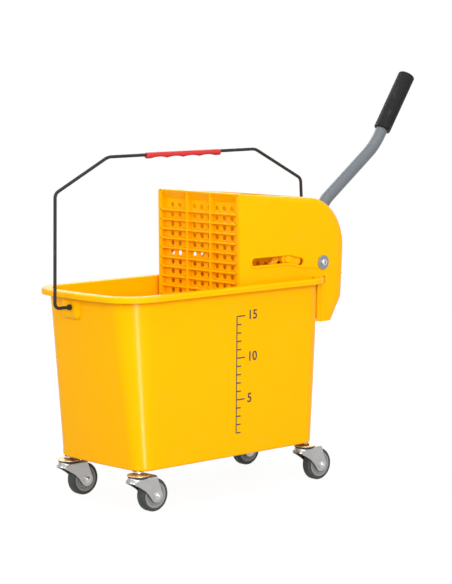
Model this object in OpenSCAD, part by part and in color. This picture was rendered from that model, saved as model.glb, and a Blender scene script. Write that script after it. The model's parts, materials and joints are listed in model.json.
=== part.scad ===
// Mop bucket trolley: a moulded tub on four swivel casters, with a bail handle
// and a side-press wringer hooked over the rear end of the tub.
// Millimetres. Z = 0 is the floor, X = 0 and Y = 0 the middle of the four casters,
// +X the wringer end, -Y the side that is seen in front.

/* [Tub] */
// Length of the tub wall under the rim
tub_top_l = 418; // [398:1:440]
// Width of the tub wall under the rim
tub_top_w = 211; // [206:1:230]
// Length of the tub at its base
tub_base_l = 364; // [344:1:376]
// Width of the tub at its base
tub_base_w = 200; // [196:1:206]
// Height of the tub from its base to the top of the rim
tub_h = 260; // [230:1:290]
// Thickness of the tub wall
tub_wall = 3; // [2.5:0.1:4]
// Thickness of the tub floor
tub_floor = 4; // [3:0.1:6]
// Corner radius of the tub wall under the rim
tub_top_corner = 46; // [42:1:54]
// Corner radius of the tub at its base
tub_base_corner = 26; // [23:1:30]
// Radius of the bowed front wall under the rim
tub_front_bow = 900; // [500:50:1200]
// Radius of the bowed rear wall under the rim
tub_rear_bow = 260; // [220:5:400]
// Radius of the bowed end walls at the base
tub_base_bow = 1200; // [900:50:1600]
// How far the rim stands out from the wall
rim_out = 13; // [11:0.5:16]
// Height of the rim's down-turned skirt
rim_skirt = 10; // [9:0.5:14]
// Thickness of the rim
rim_t = 3; // [2.5:0.1:4]
// Height of the caster sockets above the tub floor
socket_h = 22; // [16:1:30]
// Wall of a caster socket round its stem
socket_wall = 5; // [4:0.5:7]

/* [Bail] */
// Diameter of the bail wire
bail_d = 5; // [4:0.5:6]
// How far the bail's plane lies to the right of the middle
bail_y = 18; // [17:0.5:22]
// How far the hooks lie below the top of the rim
hook_drop = 23; // [21:0.5:26]
// Reach of the front arm past the rim
bail_front_gap = 20; // [14:0.5:28]
// Reach of the rear arm past the wringer's back
bail_rear_gap = 17; // [14:0.5:24]
// How far the rear arm leans in over its height
bail_rear_lean = 6; // [0:1:10]
// Height of the bail's arms above the hooks
bail_arm = 169; // [160:1:185]
// Height of the bail's top bar above the hooks
bail_rise = 220; // [210:1:240]
// Run of each sloping stretch between an arm and the top bar
bail_slope_run = 100; // [80:1:115]
// Bend radius at the hooks
hook_bend = 8; // [7:0.5:10]
// Bend radius at the shoulders and the top bar
bail_bend = 20; // [14:1:24]
// Diameter of the swaged collar at each hook
collar_d = 9; // [8:0.5:10]
// Length of the swaged collar
collar_l = 4; // [3:0.5:6]
// Width of the ear that holds a hook
ear_w = 32; // [28:1:40]
// Height of the ear below the rim's top
ear_h = 39; // [36:1:44]
// How far the ear stands out from the wall's top edge
ear_out = 4; // [3:0.5:8]
// Depth of the hook's bore in the ear
hook_depth = 7; // [6:0.5:8]
// Diameter of the bail's grip
bail_grip_d = 9.5; // [9:0.5:12]
// How far the grip's middle hangs below the wire's
bail_grip_drop = 1.2; // [0.5:0.1:1.2]
// Length of the bail's grip
bail_grip_l = 145; // [130:1:165]
// How far the grip lies behind the middle of the bail
bail_grip_shift = 2; // [0:0.5:6]
// Plain length at each end of the grip
bail_grip_plain = 10; // [6:0.5:12]
// Number of finger scallops under the grip
bail_scallops = 4; // [3:1:5]
// Depth of a finger scallop
scallop_depth = 1.2; // [0.8:0.1:1.4]
// Plain length between two finger scallops
scallop_land = 3; // [2:0.5:5]
// Gap round the rear hook in the wringer's overhang
hook_notch_gap = 1; // [0.5:0.1:2]

/* [Wringer casing] */
// Gap between a cheek and the tub's inner side
casing_side_gap = 6.5; // [5:0.1:9]
// Thickness of the casing's walls
casing_wall = 3; // [2.5:0.1:4]
// Length of the casing from its front to its back
casing_l = 228.5; // [221:0.5:235]
// Reach of the casing's back past the rim
casing_back_gap = 29.5; // [26:0.5:33]
// Height of the casing's front edge above the rim
casing_rise = 137; // [128:1:145]
// Fall of the casing's top edge from front to back
casing_fall = 19; // [14:1:24]
// Depth of the casing's cheeks inside the tub
casing_drop = 94; // [84:1:110]
// Radius of the casing's rounded back
casing_round = 62; // [54:1:66]
// Depth of the overhang outside the tub
overhang_drop = 71.5; // [64:0.5:80]
// Height of the sloping heel under the overhang
heel_h = 37; // [30:1:42]
// Run of the sloping heel
heel_run = 22; // [16:1:25]
// Rounding of the heel's upper corner
heel_round = 18; // [12:1:24]
// Lean of the casing's back over its height
back_lean = 9; // [6:1:11]
// Where the rounded back shell starts, from the casing's front
shell_start = 146; // [140:1:152]
// Gap between the casing and the tub wall that it straddles
straddle_gap = 1.5; // [1:0.1:2.5]
// Gap round the lever's socket in the slot of the casing's back
back_slot_gap = 2; // [1.5:0.1:4]

/* [Cheek slots] */
// Height of the slots above the rim
slot_rise = 32; // [30:0.5:35]
// Height of a slot
slot_h = 11; // [10.5:0.1:12]
// Middle of a slot's front end, from the casing's front
slot_front = 31; // [30:0.5:34]
// Length of a slot's straight stretch
slot_run = 73; // [71:0.5:76]
// Length of the bent loading notch behind the straight stretch
notch_run = 25; // [20:1:28]
// Fall of the loading notch
notch_fall = 6; // [4:0.5:8]
// Width of the raised lip round a slot
lip_w = 4; // [3:0.5:5]
// Height of the raised lip
lip_h = 1.5; // [1:0.1:2]
// Width of the seat's edge round a pivot washer
washer_seat = 1; // [0.5:0.1:2]

/* [Front grid] */
// Depth of the grid's cells
cell_depth = 8; // [6:0.5:10]
// Thickness of the grid's floor
grid_floor = 3; // [2.5:0.1:4]
// Thickness of the grid's ribs
grid_rib = 2.4; // [2:0.1:3]
// Pitch of the horizontal ribs
rib_pitch = 14.85; // [13.5:0.05:16]
// Height of the tall top cells
top_cell = 31.5; // [27:0.5:34]
// Half the width of the middle column
mid_column = 27; // [25:0.5:29]
// Pitch of the drain holes in a row
hole_pitch = 17.3; // [16.5:0.1:18]
// Diameter of a drain hole
hole_d = 7; // [6:0.2:8]

/* [Press] */
// Thickness of the press plate
plate_t = 4; // [3:0.2:5]
// Gap between the press plate's edge and a cheek
plate_side_gap = 17; // [16:0.5:21]
// How far the press plate stops below the casing's front edge
plate_below = 21; // [16:1:30]
// Diameter of the guide rod
rod_d = 8; // [7:0.5:9]
// Distance from the press plate's face to the middle of the guide rod
rod_back = 10; // [9:0.5:12]
// Length of a guide shoe along its slot
shoe_l = 14; // [12:0.5:15]
// How far a guide shoe's flange stands out from the slot
shoe_flange = 3.5; // [2.5:0.5:5]
// Gap between a guide shoe and a cam arm
shoe_gap = 1; // [0.6:0.1:2]
// How far the guide rod's ends lie inside the cheeks' outer faces
rod_end_in = 2; // [1:0.5:3]
// How far the guide rod rests in front of the slot's bend
rod_rest_in = 1; // [1:0.1:2]
// Thickness of the boss round the guide rod
rod_boss_wall = 5; // [3:0.5:6]
// Width of the boss round the guide rod
rod_boss_w = 16; // [12:1:24]
// Gap between the press plate and the drain floor
plate_gap = 3; // [2:0.5:6]
// Length of a slot's straight stretch that the press plate's travel leaves unused
travel_spare = 5; // [4:0.5:12]
// Swing of the lever for the whole travel, in degrees
press_angle = 42; // [38:1:44]
// Thickness of a cam arm
cam_t = 5; // [4:0.5:6]
// Width of the cam's edge outside its slot
cam_edge = 8; // [7:0.5:9]
// Gap between a cam arm and the press plate's edge
cam_gap = 3; // [2:0.5:4]
// How far the hub reaches past a cam arm
hub_past = 2; // [1:0.5:3]
// Radial gap between the guide rod and its cam slot
cam_slot_gap = 0.4; // [0.3:0.05:0.6]

/* [Lever] */
// Distance from the casing's back to the pivot
pivot_in = 52.5; // [51:0.5:55]
// Height of the pivot above the rim
pivot_rise = 22; // [20:0.5:24]
// Diameter of the pivot axle
pivot_d = 12; // [10:0.5:13]
// Diameter of the rocker's hub
hub_d = 28; // [25:0.5:30]
// Wall of a spacer beside the hub
spacer_wall = 5; // [3:0.5:6]
// Diameter of the lever tube
lever_d = 19.5; // [17:0.5:21]
// Wall of the lever tube
lever_wall = 1.6; // [1.2:0.1:2.5]
// Slope of the lever's lower stretch at rest, in degrees
lever_low_angle = 38.8; // [37:0.1:40]
// Slope of the lever's upper stretch at rest, in degrees
lever_up_angle = 56; // [50:0.5:62]
// Distance from the pivot to the lever's knee
lever_low_l = 275; // [240:1:310]
// Distance from the knee to the end of the grip
lever_up_l = 139; // [125:1:160]
// Bend radius of the knee
knee_bend = 70; // [50:1:80]
// Diameter of the lever's grip
grip_d = 28; // [25:0.5:30]
// Length of the lever's grip
grip_l = 108; // [95:1:110]
// Thickness of the grip's closed end
grip_end = 3; // [2:0.5:5]
// Length of the rocker's socket from the pivot
socket_l = 37; // [34:1:38]
// Wall of the rocker's socket
socket_ring = 3.6; // [3:0.1:4]
// Gap between the hub and the end of the lever tube
tube_gap = 4; // [2:0.5:6]
// Diameter of the lever's bolt
bolt_d = 6; // [5:0.5:6]
// Height of the bolt's heads
bolt_head_h = 2; // [1.5:0.1:3]
// How far the bolt's heads stand out round it
bolt_head_out = 2; // [1.5:0.1:3]
// Diameter of the pivot's washers
washer_d = 23; // [20:0.5:26]
// Thickness of the pivot's washers
washer_t = 1.6; // [1.2:0.1:2.5]
// Diameter of a screw head
screw_head_d = 11; // [9:0.5:12]
// Height of a screw head
screw_head_h = 4; // [3:0.5:5]
// Diameter of a pivot screw
screw_d = 6; // [5:0.5:6]
// Length of a pivot screw in the axle
screw_l = 18; // [12:1:24]

/* [Casters] */
// Diameter of a wheel
wheel_d = 50; // [44:1:60]
// Width of a tyre
tyre_w = 16; // [14:0.5:20]
// Rounding of the tread's edges
tread_round = 4; // [3:0.5:5]
// Diameter of the wheel's hub
wheel_hub_d = 39; // [36:1:40]
// How far the hub's edge lies inside the tyre's side
hub_inset = 0.5; // [0.2:0.1:1]
// Depth of the dish in the hub's side
hub_dish = 2; // [1:0.5:4]
// Width of the hub's edge round its dish
hub_edge = 4; // [3:0.5:6]
// Run of the slopes in the hub's dish
hub_slope = 1.5; // [1:0.1:2.5]
// Wall of the hub's boss round the axle
hub_boss_wall = 4; // [3:0.5:5]
// Diameter of a wheel axle
axle_d = 6; // [5:0.5:7]
// Trail of a wheel behind its swivel
trail = 26; // [22:0.5:28]
// Distance of a swivel from the tub's end at the base
stem_in_x = 12; // [10.5:0.5:15]
// Distance of a swivel from the tub's side at the base
stem_in_y = 17; // [15:0.5:20]
// Diameter of a caster stem
stem_d = 10; // [9:0.5:11]
// Height of the stem's riveted foot
stem_foot_h = 3; // [2:0.5:4]
// How far the riveted foot stands out round the stem
stem_foot_out = 2.5; // [2:0.5:4]
// Height of the collar above the race dish
stem_collar_h = 1.1; // [0.8:0.1:3]
// Diameter of the collar above the race dish
stem_collar_d = 13; // [12:0.5:16]
// Diameter of the fork's crown and of the race dish
crown_d = 34; // [33:0.5:38]
// Thickness of the fork's sheet
fork_t = 2.4; // [2:0.1:3]
// Gap between the tyre and the fork's crown
crown_gap = 2.6; // [2:0.1:4]
// Gap between the tyre and the fork's legs
leg_gap = 1.6; // [1.2:0.1:2.5]
// Radius of the fork's legs at the axle
leg_end_r = 11; // [9:0.5:12]
// How far the legs' front edge lies behind the crown's
leg_inset = 3; // [2:0.5:5]
// How far the fork reaches behind its stem
fork_rear = 30; // [27:0.5:33]
// Diameter of a race ball
ball_d = 3.6; // [3:0.2:4]
// Number of race balls
ball_count = 14; // [10:1:15]
// Thickness of the race dish
dish_t = 4.2; // [3.5:0.1:5]
// Width of the race dish's lip
dish_lip = 2.5; // [2:0.1:3]
// Gap under the race dish's lip
dish_gap = 0.8; // [0.5:0.1:1.2]
// Slope of the race dish's upper edge
dish_chamfer = 9; // [7:0.5:10]
// Diameter of a wheel axle's head
axle_head_d = 10; // [9:0.5:11]
// Height of a wheel axle's head
axle_head_h = 3; // [2:0.5:4]

/* [Hidden] */
$fn = 64;
// Radial clearance of a shaft in a bore that it turns in
run_gap = 0.05;
// Clearance between faces of pieces that move past each other
face_gap = 0.3;
// How far the edges of a fork's leg run inside its rounded end
leg_merge = 0.3;
// Extra length of a cutting solid
over = 1;
// Number of steps along a rounded corner, and along a cam slot
corner_steps = 8;
cam_steps = 20;
// Number of sides of the bent wire and of the bent tube
wire_sides = 12;
tube_sides = 32;
// Share of the lever's swing over which a cam slot's direction is taken
cam_probe = 0.01;

// Heights of the caster's stack
axle_z = wheel_d / 2;
crown_z = wheel_d + crown_gap;
race_z = crown_z + fork_t;
race_h = ball_d + 2 * run_gap;
dish_z = race_z + race_h;
collar_z = dish_z + dish_t;
base_z = collar_z + stem_collar_h;
leg_in = tyre_w / 2 + leg_gap;
leg_out = leg_in + fork_t;
stem_r = stem_d / 2;
stem_x = tub_base_l / 2 - stem_in_x;
stem_y = tub_base_w / 2 - stem_in_y;
stem_foot_r = stem_r + stem_foot_out;

// Tub and rim
rim_z = base_z + tub_h;
rim_x = tub_top_l / 2 + rim_out;
hook_z = rim_z - hook_drop;
ear_x = tub_top_l / 2 + ear_out;

// Wringer casing
casing_back_x = rim_x + casing_back_gap;
casing_front_x = casing_back_x - casing_l;
casing_top_z = rim_z + casing_rise;
casing_low_z = rim_z - casing_drop;
cheek_out = min(tub_level(casing_low_z, tub_wall)[1], tub_level(rim_z, tub_wall)[1]) - casing_side_gap;
cheek_in = cheek_out - casing_wall;
overhang_z = rim_z - overhang_drop;
heel_top_z = overhang_z + heel_h;
heel_back_x = casing_back_x - back_lean;
saddle_top_z = rim_z + casing_wall;
lip_out = cheek_out + lip_h;

// Where the cheeks straddle the tub's end wall and rim
inside_x = end_x(cheek_out, casing_low_z, tub_wall) - straddle_gap;
outside_x = end_x(cheek_in, rim_z, 0) + straddle_gap;
rim_cut_x = end_x(cheek_in, rim_z, -rim_out) + straddle_gap;
skirt_z = rim_z - rim_skirt - straddle_gap;

// Pivot, slots and press at rest
pivot_x = casing_back_x - pivot_in;
pivot_z = rim_z + pivot_rise;
pivot = [pivot_x, pivot_z];
slot_z = rim_z + slot_rise;
slot_start = [casing_front_x + slot_front, slot_z];
slot_end = slot_start + [slot_run, 0];
notch_end = slot_end + [notch_run, -notch_fall];
slot_r = slot_h / 2;
lip_r = slot_r + lip_w;
rod_r = rod_d / 2;
rod_rest = slot_end - [rod_rest_in, 0];
press_travel = slot_run - travel_spare;
plate_x = rod_rest.x - rod_back;
plate_top_z = casing_top_z - plate_below;
floor_top_z = casing_low_z + casing_wall;
plate_low_z = floor_top_z + plate_gap;
plate_y = cheek_in - plate_side_gap;
grid_back_x = casing_front_x + cell_depth + grid_floor;
cam_in = plate_y + cam_gap;
cam_out = cam_in + cam_t;
hub_end = cam_out + hub_past;
shoe_in = cam_out + shoe_gap;
shoe_flange_r = slot_r + shoe_flange;
rod_end = cheek_out - rod_end_in;
cam_slot_r = rod_r + cam_slot_gap;
cam_r = cam_slot_r + cam_edge;

// Heights of the grid's horizontal ribs, and of the hole row over the first and under each
rib_zs = [for (z = casing_top_z - top_cell; z > casing_low_z + rib_pitch; z = z - rib_pitch) z];
row_zs = [for (z = rib_zs) z - rib_pitch / 2];
first_row_z = casing_top_z - top_cell + rib_pitch / 2;

// Holes of a row across the wringer, and the bounds of the grid's three columns
hole_reach = floor((cheek_in - grid_rib - hole_d / 2) / hole_pitch);
hole_ys = [for (i = [-hole_reach:hole_reach]) i * hole_pitch];
column_bounds = [
    [-cheek_in + grid_rib, -mid_column - grid_rib / 2],
    [-mid_column + grid_rib / 2, mid_column - grid_rib / 2],
    [mid_column + grid_rib / 2, cheek_in - grid_rib]
];

// Lever
lever_r = lever_d / 2;
tube_start = hub_d / 2 + tube_gap;
socket_r = lever_r + run_gap + socket_ring;
knee = pivot + lever_low_l * [cos(lever_low_angle), sin(lever_low_angle)];
lever_tip = knee + (lever_up_l - grip_end) * [cos(lever_up_angle), sin(lever_up_angle)];
bolt_at = (tube_start + socket_l) / 2;
back_slot_y = socket_r + back_slot_gap;
back_slot_low = saddle_top_z + back_slot_gap;
back_slot_high = pivot_z + pivot_in * tan(lever_low_angle)
    + (lever_r + back_slot_gap) / cos(lever_low_angle);

// Bail
bail_r = bail_d / 2;
bail_front_x = -rim_x - bail_front_gap;
bail_rear_x = casing_back_x + bail_rear_gap;
shoulder_z = hook_z + bail_arm;
top_bar_z = hook_z + bail_rise;
hook_tip_x = ear_x - hook_depth + face_gap;
collar_x = ear_x + face_gap;
collar_mid_x = collar_x + collar_l / 2;
bail_path = [
    [-collar_mid_x, hook_z],
    [bail_front_x, hook_z],
    [bail_front_x, shoulder_z],
    [bail_front_x + bail_slope_run, top_bar_z],
    [bail_rear_x - bail_rear_lean - bail_slope_run, top_bar_z],
    [bail_rear_x - bail_rear_lean, shoulder_z],
    [bail_rear_x, hook_z],
    [collar_mid_x, hook_z]
];
bail_bends = [0, hook_bend, bail_bend, bail_bend, bail_bend, bail_bend, hook_bend, 0];
bail_grip_x = (bail_front_x + bail_rear_x - bail_rear_lean) / 2 + bail_grip_shift;
hook_notch = collar_d + 2 * hook_notch_gap;

// Colours
yellow = [1, 0.76, 0];
deep_yellow = [0.95, 0.68, 0];
steel = [0.75, 0.76, 0.77];
zinc = [0.80, 0.66, 0.36];
paint_grey = [0.48, 0.50, 0.53];
black = [0.15, 0.15, 0.15];
red = [0.84, 0.24, 0.24];
hub_grey = [0.47, 0.48, 0.48];
tyre_grey = [0.27, 0.29, 0.28];

// Points on an arc after its first one
function arc(c, r, from, to, steps = corner_steps) =
    [for (i = [1:steps]) let (a = from + (to - from) * i / steps) c + r * [cos(a), sin(a)]];

// Where the centre of a round corner lies beside a bowed end
function corner_x(half_l, half_w, corner, bow) =
    half_l - bow + sqrt(pow(bow - corner, 2) - pow(half_w - corner, 2));

// Outline of the tub: bowed ends joined to straight sides by round corners
function tub_outline(half_l, half_w, corner, front_bow, rear_bow) =
    let (
        cy = half_w - corner,
        rear_x = half_l - rear_bow,
        front_x = half_l - front_bow,
        rear_cx = corner_x(half_l, half_w, corner, rear_bow),
        front_cx = corner_x(half_l, half_w, corner, front_bow),
        rear_turn = atan2(cy, rear_cx - rear_x),
        front_turn = atan2(cy, front_cx - front_x)
    )
    concat(
        arc([rear_x, 0], rear_bow, -rear_turn, rear_turn),
        arc([rear_cx, cy], corner, rear_turn, 90),
        arc([-front_cx, cy], corner, 90, 180 - front_turn),
        arc([-front_x, 0], front_bow, 180 - front_turn, 180 + front_turn),
        arc([-front_cx, -cy], corner, 180 + front_turn, 270),
        arc([rear_cx, -cy], corner, 270, 360 - rear_turn)
    );

// The tub's half length, half width, corner and bows at a height, drawn in by an inset
function tub_level(z, inset) =
    let (s = (z - base_z) / tub_h)
    [
        (tub_base_l + s * (tub_top_l - tub_base_l)) / 2 - inset,
        (tub_base_w + s * (tub_top_w - tub_base_w)) / 2 - inset,
        tub_base_corner + s * (tub_top_corner - tub_base_corner) - inset,
        tub_base_bow + s * (tub_front_bow - tub_base_bow) - inset,
        tub_base_bow + s * (tub_rear_bow - tub_base_bow) - inset
    ];

function tub_ring(z, inset) =
    let (v = tub_level(z, inset))
    tub_outline(v[0], v[1], v[2], v[3], v[4]);

function rim_ring(inset) =
    tub_outline(
        tub_top_l / 2 + rim_out - inset,
        tub_top_w / 2 + rim_out - inset,
        tub_top_corner + rim_out - inset,
        tub_front_bow + rim_out - inset,
        tub_rear_bow + rim_out - inset
    );

// Where the tub's rear corner crosses a given distance from the middle plane
function end_x(y, z, inset) =
    let (
        v = tub_level(z, inset)
    )
    corner_x(v[0], v[1], v[2], v[4]) + sqrt(pow(v[2], 2) - pow(y - v[1] + v[2], 2));

function unit(v) = v / norm(v);

function turned(v, a) = [v.x * cos(a) - v.y * sin(a), v.x * sin(a) + v.y * cos(a)];

// Points of a rounded corner at p between its neighbours
function round_corner(before, p, after, r) =
    let (
        u = unit(before - p),
        w = unit(after - p),
        half = acos(u * w) / 2,
        c = p + unit(u + w) * r / sin(half),
        from = p + u * r / tan(half) - c,
        to = p + w * r / tan(half) - c,
        a = atan2(from.y, from.x),
        b = atan2(to.y, to.x),
        sweep = (b - a + 540) % 360 - 180
    )
    concat([c + from], arc(c, r, a, a + sweep));

// Outline with rounded corners, from points and one radius a point
function rounded(points, radii) =
    let (n = len(points))
    [
        for (i = [0:n - 1])
            each radii[i] > 0
                ? round_corner(points[(i + n - 1) % n], points[i], points[(i + 1) % n], radii[i])
                : [points[i]]
    ];

// Where a line from a point touches a circle, on the side given by a sign
function touch(p, c, r, side) =
    let (
        d = p - c,
        a = atan2(d.y, d.x) + side * acos(r / norm(d))
    )
    c + r * [cos(a), sin(a)];

// Centre line of a cam slot about the pivot: the rod's straight path seen from the turning rocker
function cam_point(share) =
    turned(rod_rest - [press_travel * share, 0] - pivot, press_angle * share);

function cam_normal(share) =
    let (d = unit(cam_point(share + cam_probe) - cam_point(share - cam_probe)))
    [-d.y, d.x];

function cam_ribbon(half_w) = concat(
    [for (i = [0:cam_steps]) pivot + cam_point(i / cam_steps) + half_w * cam_normal(i / cam_steps)],
    [for (i = [cam_steps:-1:0]) pivot + cam_point(i / cam_steps) - half_w * cam_normal(i / cam_steps)]
);

// Solid between two outlines of as many points
module loft(low, low_z, high, high_z) {
    n = len(low);
    polyhedron(
        points = concat([for (p = low) [p.x, p.y, low_z]], [for (p = high) [p.x, p.y, high_z]]),
        faces = concat(
            [[for (i = [0:n - 1]) i]],
            [[for (i = [n - 1:-1:0]) n + i]],
            [for (i = [0:n - 1]) [i, n + i, (i + 1) % n]],
            [for (i = [0:n - 1]) [(i + 1) % n, n + i, n + (i + 1) % n]]
        )
    );
}

// Extrudes an outline drawn in X and Z from one Y to another
module along_y(from, to) {
    translate([0, to, 0])
        rotate([90, 0, 0])
            linear_extrude(to - from)
                children();
}

// Round bar along Y
module bar_y(at, r, from, to) {
    translate([at.x, to, at.y])
        rotate([90, 0, 0])
            cylinder(r = r, h = to - from);
}

// Flat bar with round ends between two points in X and Z
module link(p, q, r, from, to) {
    d = q - p;
    side = r * unit([-d.y, d.x]);
    along_y(from, to)
        polygon([p + side, p - side, q - side, q + side]);
    bar_y(p, r, from, to);
    bar_y(q, r, from, to);
}

// Both a shape and its mirror image about the middle plane
module both_sides() {
    children();
    mirror([0, 1, 0])
        children();
}

// Middle line of a rod in X and Z: its straight stretches joined by arcs
function bent_line(path, bends) =
    [
        for (i = [0:len(path) - 1])
            each bends[i] > 0
                ? round_corner(path[i - 1], path[i], path[i + 1], bends[i])
                : [path[i]]
    ];

// Round rod along a line in X and Z
module swept_rod(line, r, sides) {
    last = len(line) - 1;
    dirs = [for (i = [0:last - 1]) unit(line[i + 1] - line[i])];
    ways = [for (i = [0:last]) unit(dirs[max(i - 1, 0)] + dirs[min(i, last - 1)])];
    rings = [
        for (i = [0:last], k = [0:sides - 1])
            let (
                a = 360 * k / sides,
                out = line[i] + r * cos(a) * [-ways[i].y, ways[i].x]
            )
            [out.x, r * sin(a), out.y]
    ];
    walls = [
        for (i = [0:last - 1], k = [0:sides - 1])
            let (
                p = i * sides + k,
                q = i * sides + (k + 1) % sides
            )
            each [[p, q, p + sides], [q, q + sides, p + sides]]
    ];
    polyhedron(
        points = rings,
        faces = concat(
            [[for (k = [sides - 1:-1:0]) k]],
            walls,
            [[for (k = [0:sides - 1]) last * sides + k]]
        )
    );
}

// Places children along the lever's upper stretch, a distance past the knee
module on_upper_lever(distance) {
    at = knee + distance * [cos(lever_up_angle), sin(lever_up_angle)];
    translate([at.x, 0, at.y])
        rotate([0, 90 - lever_up_angle, 0])
            children();
}

// Places children along the lever's lower stretch, a distance past the pivot
module on_lower_lever(distance) {
    at = pivot + distance * [cos(lever_low_angle), sin(lever_low_angle)];
    translate([at.x, 0, at.y])
        rotate([0, 90 - lever_low_angle, 0])
            children();
}

module ear() {
    intersection() {
        translate([tub_top_l / 2 - tub_top_corner, bail_y - ear_w / 2, rim_z - ear_h])
            cube([tub_top_corner + ear_out, ear_w, ear_h - rim_t / 2]);
        translate([0, 0, rim_z - ear_h])
            linear_extrude(ear_h)
                polygon(rim_ring(rim_t));
    }
}

module hook_bore() {
    translate([ear_x - hook_depth, bail_y, hook_z])
        rotate([0, 90, 0])
            cylinder(r = bail_r + run_gap, h = hook_depth + rim_out);
}

module at_both_ends() {
    children();
    mirror([1, 0, 0])
        children();
}

module at_stems() {
    for (x = [-stem_x, stem_x], y = [-stem_y, stem_y])
        translate([x, y, base_z])
            children();
}

// Inside of the tub, round the caster sockets
module tub_cavity() {
    difference() {
        loft(
            tub_ring(base_z + tub_floor, tub_wall), base_z + tub_floor,
            tub_ring(rim_z + over, tub_wall), rim_z + over
        );
        at_stems()
            cylinder(r = stem_r + socket_wall, h = tub_floor + socket_h);
    }
}

module rim() {
    difference() {
        translate([0, 0, rim_z - rim_skirt])
            linear_extrude(rim_skirt)
                polygon(rim_ring(0));
        translate([0, 0, rim_z - rim_skirt - over])
            linear_extrude(rim_skirt - rim_t + over)
                polygon(rim_ring(rim_t));
    }
}

module bucket_tub() {
    color(yellow)
        difference() {
            union() {
                loft(tub_ring(base_z, 0), base_z, tub_ring(rim_z, 0), rim_z);
                rim();
                at_both_ends()
                    ear();
            }
            tub_cavity();
            at_both_ends()
                hook_bore();
            at_stems()
                translate([0, 0, -over])
                    cylinder(r = stem_r + run_gap, h = socket_h + over);
        }
}

module bail_wire() {
    color(black)
        translate([0, bail_y, 0]) {
            swept_rod(bent_line(bail_path, bail_bends), bail_r, wire_sides);
            at_both_ends() {
                translate([collar_x, 0, hook_z])
                    rotate([0, 90, 0])
                        cylinder(d = collar_d, h = collar_l);
                translate([hook_tip_x, 0, hook_z])
                    rotate([0, 90, 0])
                        cylinder(r = bail_r, h = collar_mid_x - hook_tip_x);
            }
        }
}

module bail_grip() {
    scallop_l = (bail_grip_l - 2 * bail_grip_plain) / bail_scallops;
    half_chord = (scallop_l - scallop_land) / 2;
    scallop_r = (pow(half_chord, 2) + pow(scallop_depth, 2)) / (2 * scallop_depth);
    color(red)
        translate([bail_grip_x, bail_y, top_bar_z])
            difference() {
                translate([-bail_grip_l / 2, 0, -bail_grip_drop])
                    rotate([0, 90, 0])
                        cylinder(d = bail_grip_d, h = bail_grip_l);
                translate([-bail_grip_l / 2 - over, 0, 0])
                    rotate([0, 90, 0])
                        cylinder(r = bail_r + run_gap, h = bail_grip_l + 2 * over);
                for (i = [0:bail_scallops - 1])
                    translate([(i - (bail_scallops - 1) / 2) * scallop_l, 0, 0])
                        bar_y(
                            [0, scallop_depth - bail_grip_drop - bail_grip_d / 2 - scallop_r],
                            scallop_r, -bail_grip_d, bail_grip_d
                        );
            }
}

// Side view of a cheek, with the notch that straddles the tub's end wall and rim
module cheek_outline() {
    polygon(rounded(
        [
            [casing_front_x, casing_low_z],
            [inside_x, casing_low_z],
            [inside_x, rim_z],
            [rim_cut_x, rim_z],
            [rim_cut_x, skirt_z],
            [outside_x, skirt_z],
            [outside_x, overhang_z],
            [heel_back_x - heel_run, overhang_z],
            [heel_back_x, heel_top_z],
            [casing_back_x, casing_top_z - casing_fall],
            [casing_front_x, casing_top_z]
        ],
        [0, 0, 0, 0, 0, 0, 0, 0, heel_round, casing_round, 0]
    ));
}

// Side view of the rounded back shell, a wall thick
function shell_curve(inset) =
    let (
        start_x = casing_front_x + shell_start,
        fall = casing_fall * shell_start / casing_l
    )
    rounded(
        [
            [heel_back_x - heel_run - inset, overhang_z],
            [heel_back_x - inset, heel_top_z],
            [casing_back_x - inset, casing_top_z - casing_fall - inset],
            [start_x, casing_top_z - fall - inset]
        ],
        [0, heel_round, casing_round - inset, 0]
    );

module back_shell() {
    outer = shell_curve(0);
    inner = shell_curve(casing_wall);
    n = len(inner);
    along_y(-cheek_in, cheek_in)
        polygon(concat(outer, [for (i = [n - 1:-1:0]) inner[i]]));
}

// Raised lip round a cheek slot, running on to the pivot
module slot_lip() {
    link(slot_start, slot_end, lip_r, cheek_in, lip_out);
    link(slot_end, notch_end, lip_r, cheek_in, lip_out);
    link(notch_end, pivot, lip_r, cheek_in, lip_out);
    bar_y(pivot, washer_d / 2 + washer_seat, cheek_in, lip_out);
}

module cheek_slot() {
    link(slot_start, slot_end, slot_r, cheek_in - over, lip_out + over);
    link(slot_end, notch_end, slot_r, cheek_in - over, lip_out + over);
}

module wringer_casing() {
    color(yellow)
        difference() {
            union() {
                both_sides() {
                    along_y(cheek_in, cheek_out)
                        cheek_outline();
                    slot_lip();
                }
                back_shell();
                translate([inside_x, -cheek_in, rim_z])
                    cube([heel_back_x - inside_x, 2 * cheek_in, casing_wall]);
            }
            both_sides()
                cheek_slot();
            bar_y(pivot, pivot_d / 2 + run_gap, -lip_out - over, lip_out + over);
            translate([pivot_x + hub_d / 2, -back_slot_y, back_slot_low])
                cube([pivot_in, 2 * back_slot_y, back_slot_high - back_slot_low]);
            translate([rim_x, bail_y - hook_notch / 2, overhang_z - over])
                cube([casing_back_gap, hook_notch, hook_z + hook_notch / 2 - overhang_z + over]);
        }
}

module grid_pocket(column, low, high) {
    translate([casing_front_x - over, column[0], low])
        cube([cell_depth + over, column[1] - column[0], high - low]);
}

module drain_hole(x, y, z, l) {
    translate([x, y, z])
        rotate([0, 90, 0])
            cylinder(d = hole_d, h = l);
}

module front_grid() {
    color(deep_yellow)
        difference() {
            translate([casing_front_x, -cheek_in, casing_low_z])
                cube([cell_depth + grid_floor, 2 * cheek_in, casing_rise + casing_drop]);
            for (column = column_bounds) {
                grid_pocket(column, rib_zs[0] + grid_rib / 2, casing_top_z - grid_rib);
                for (z = rib_zs)
                    grid_pocket(
                        column,
                        max(z - rib_pitch + grid_rib / 2, casing_low_z + grid_rib),
                        z - grid_rib / 2
                    );
            }
            for (y = hole_ys, z = concat([first_row_z], row_zs))
                drain_hole(casing_front_x + cell_depth - over, y, z, grid_floor + 2 * over);
        }
}

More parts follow.
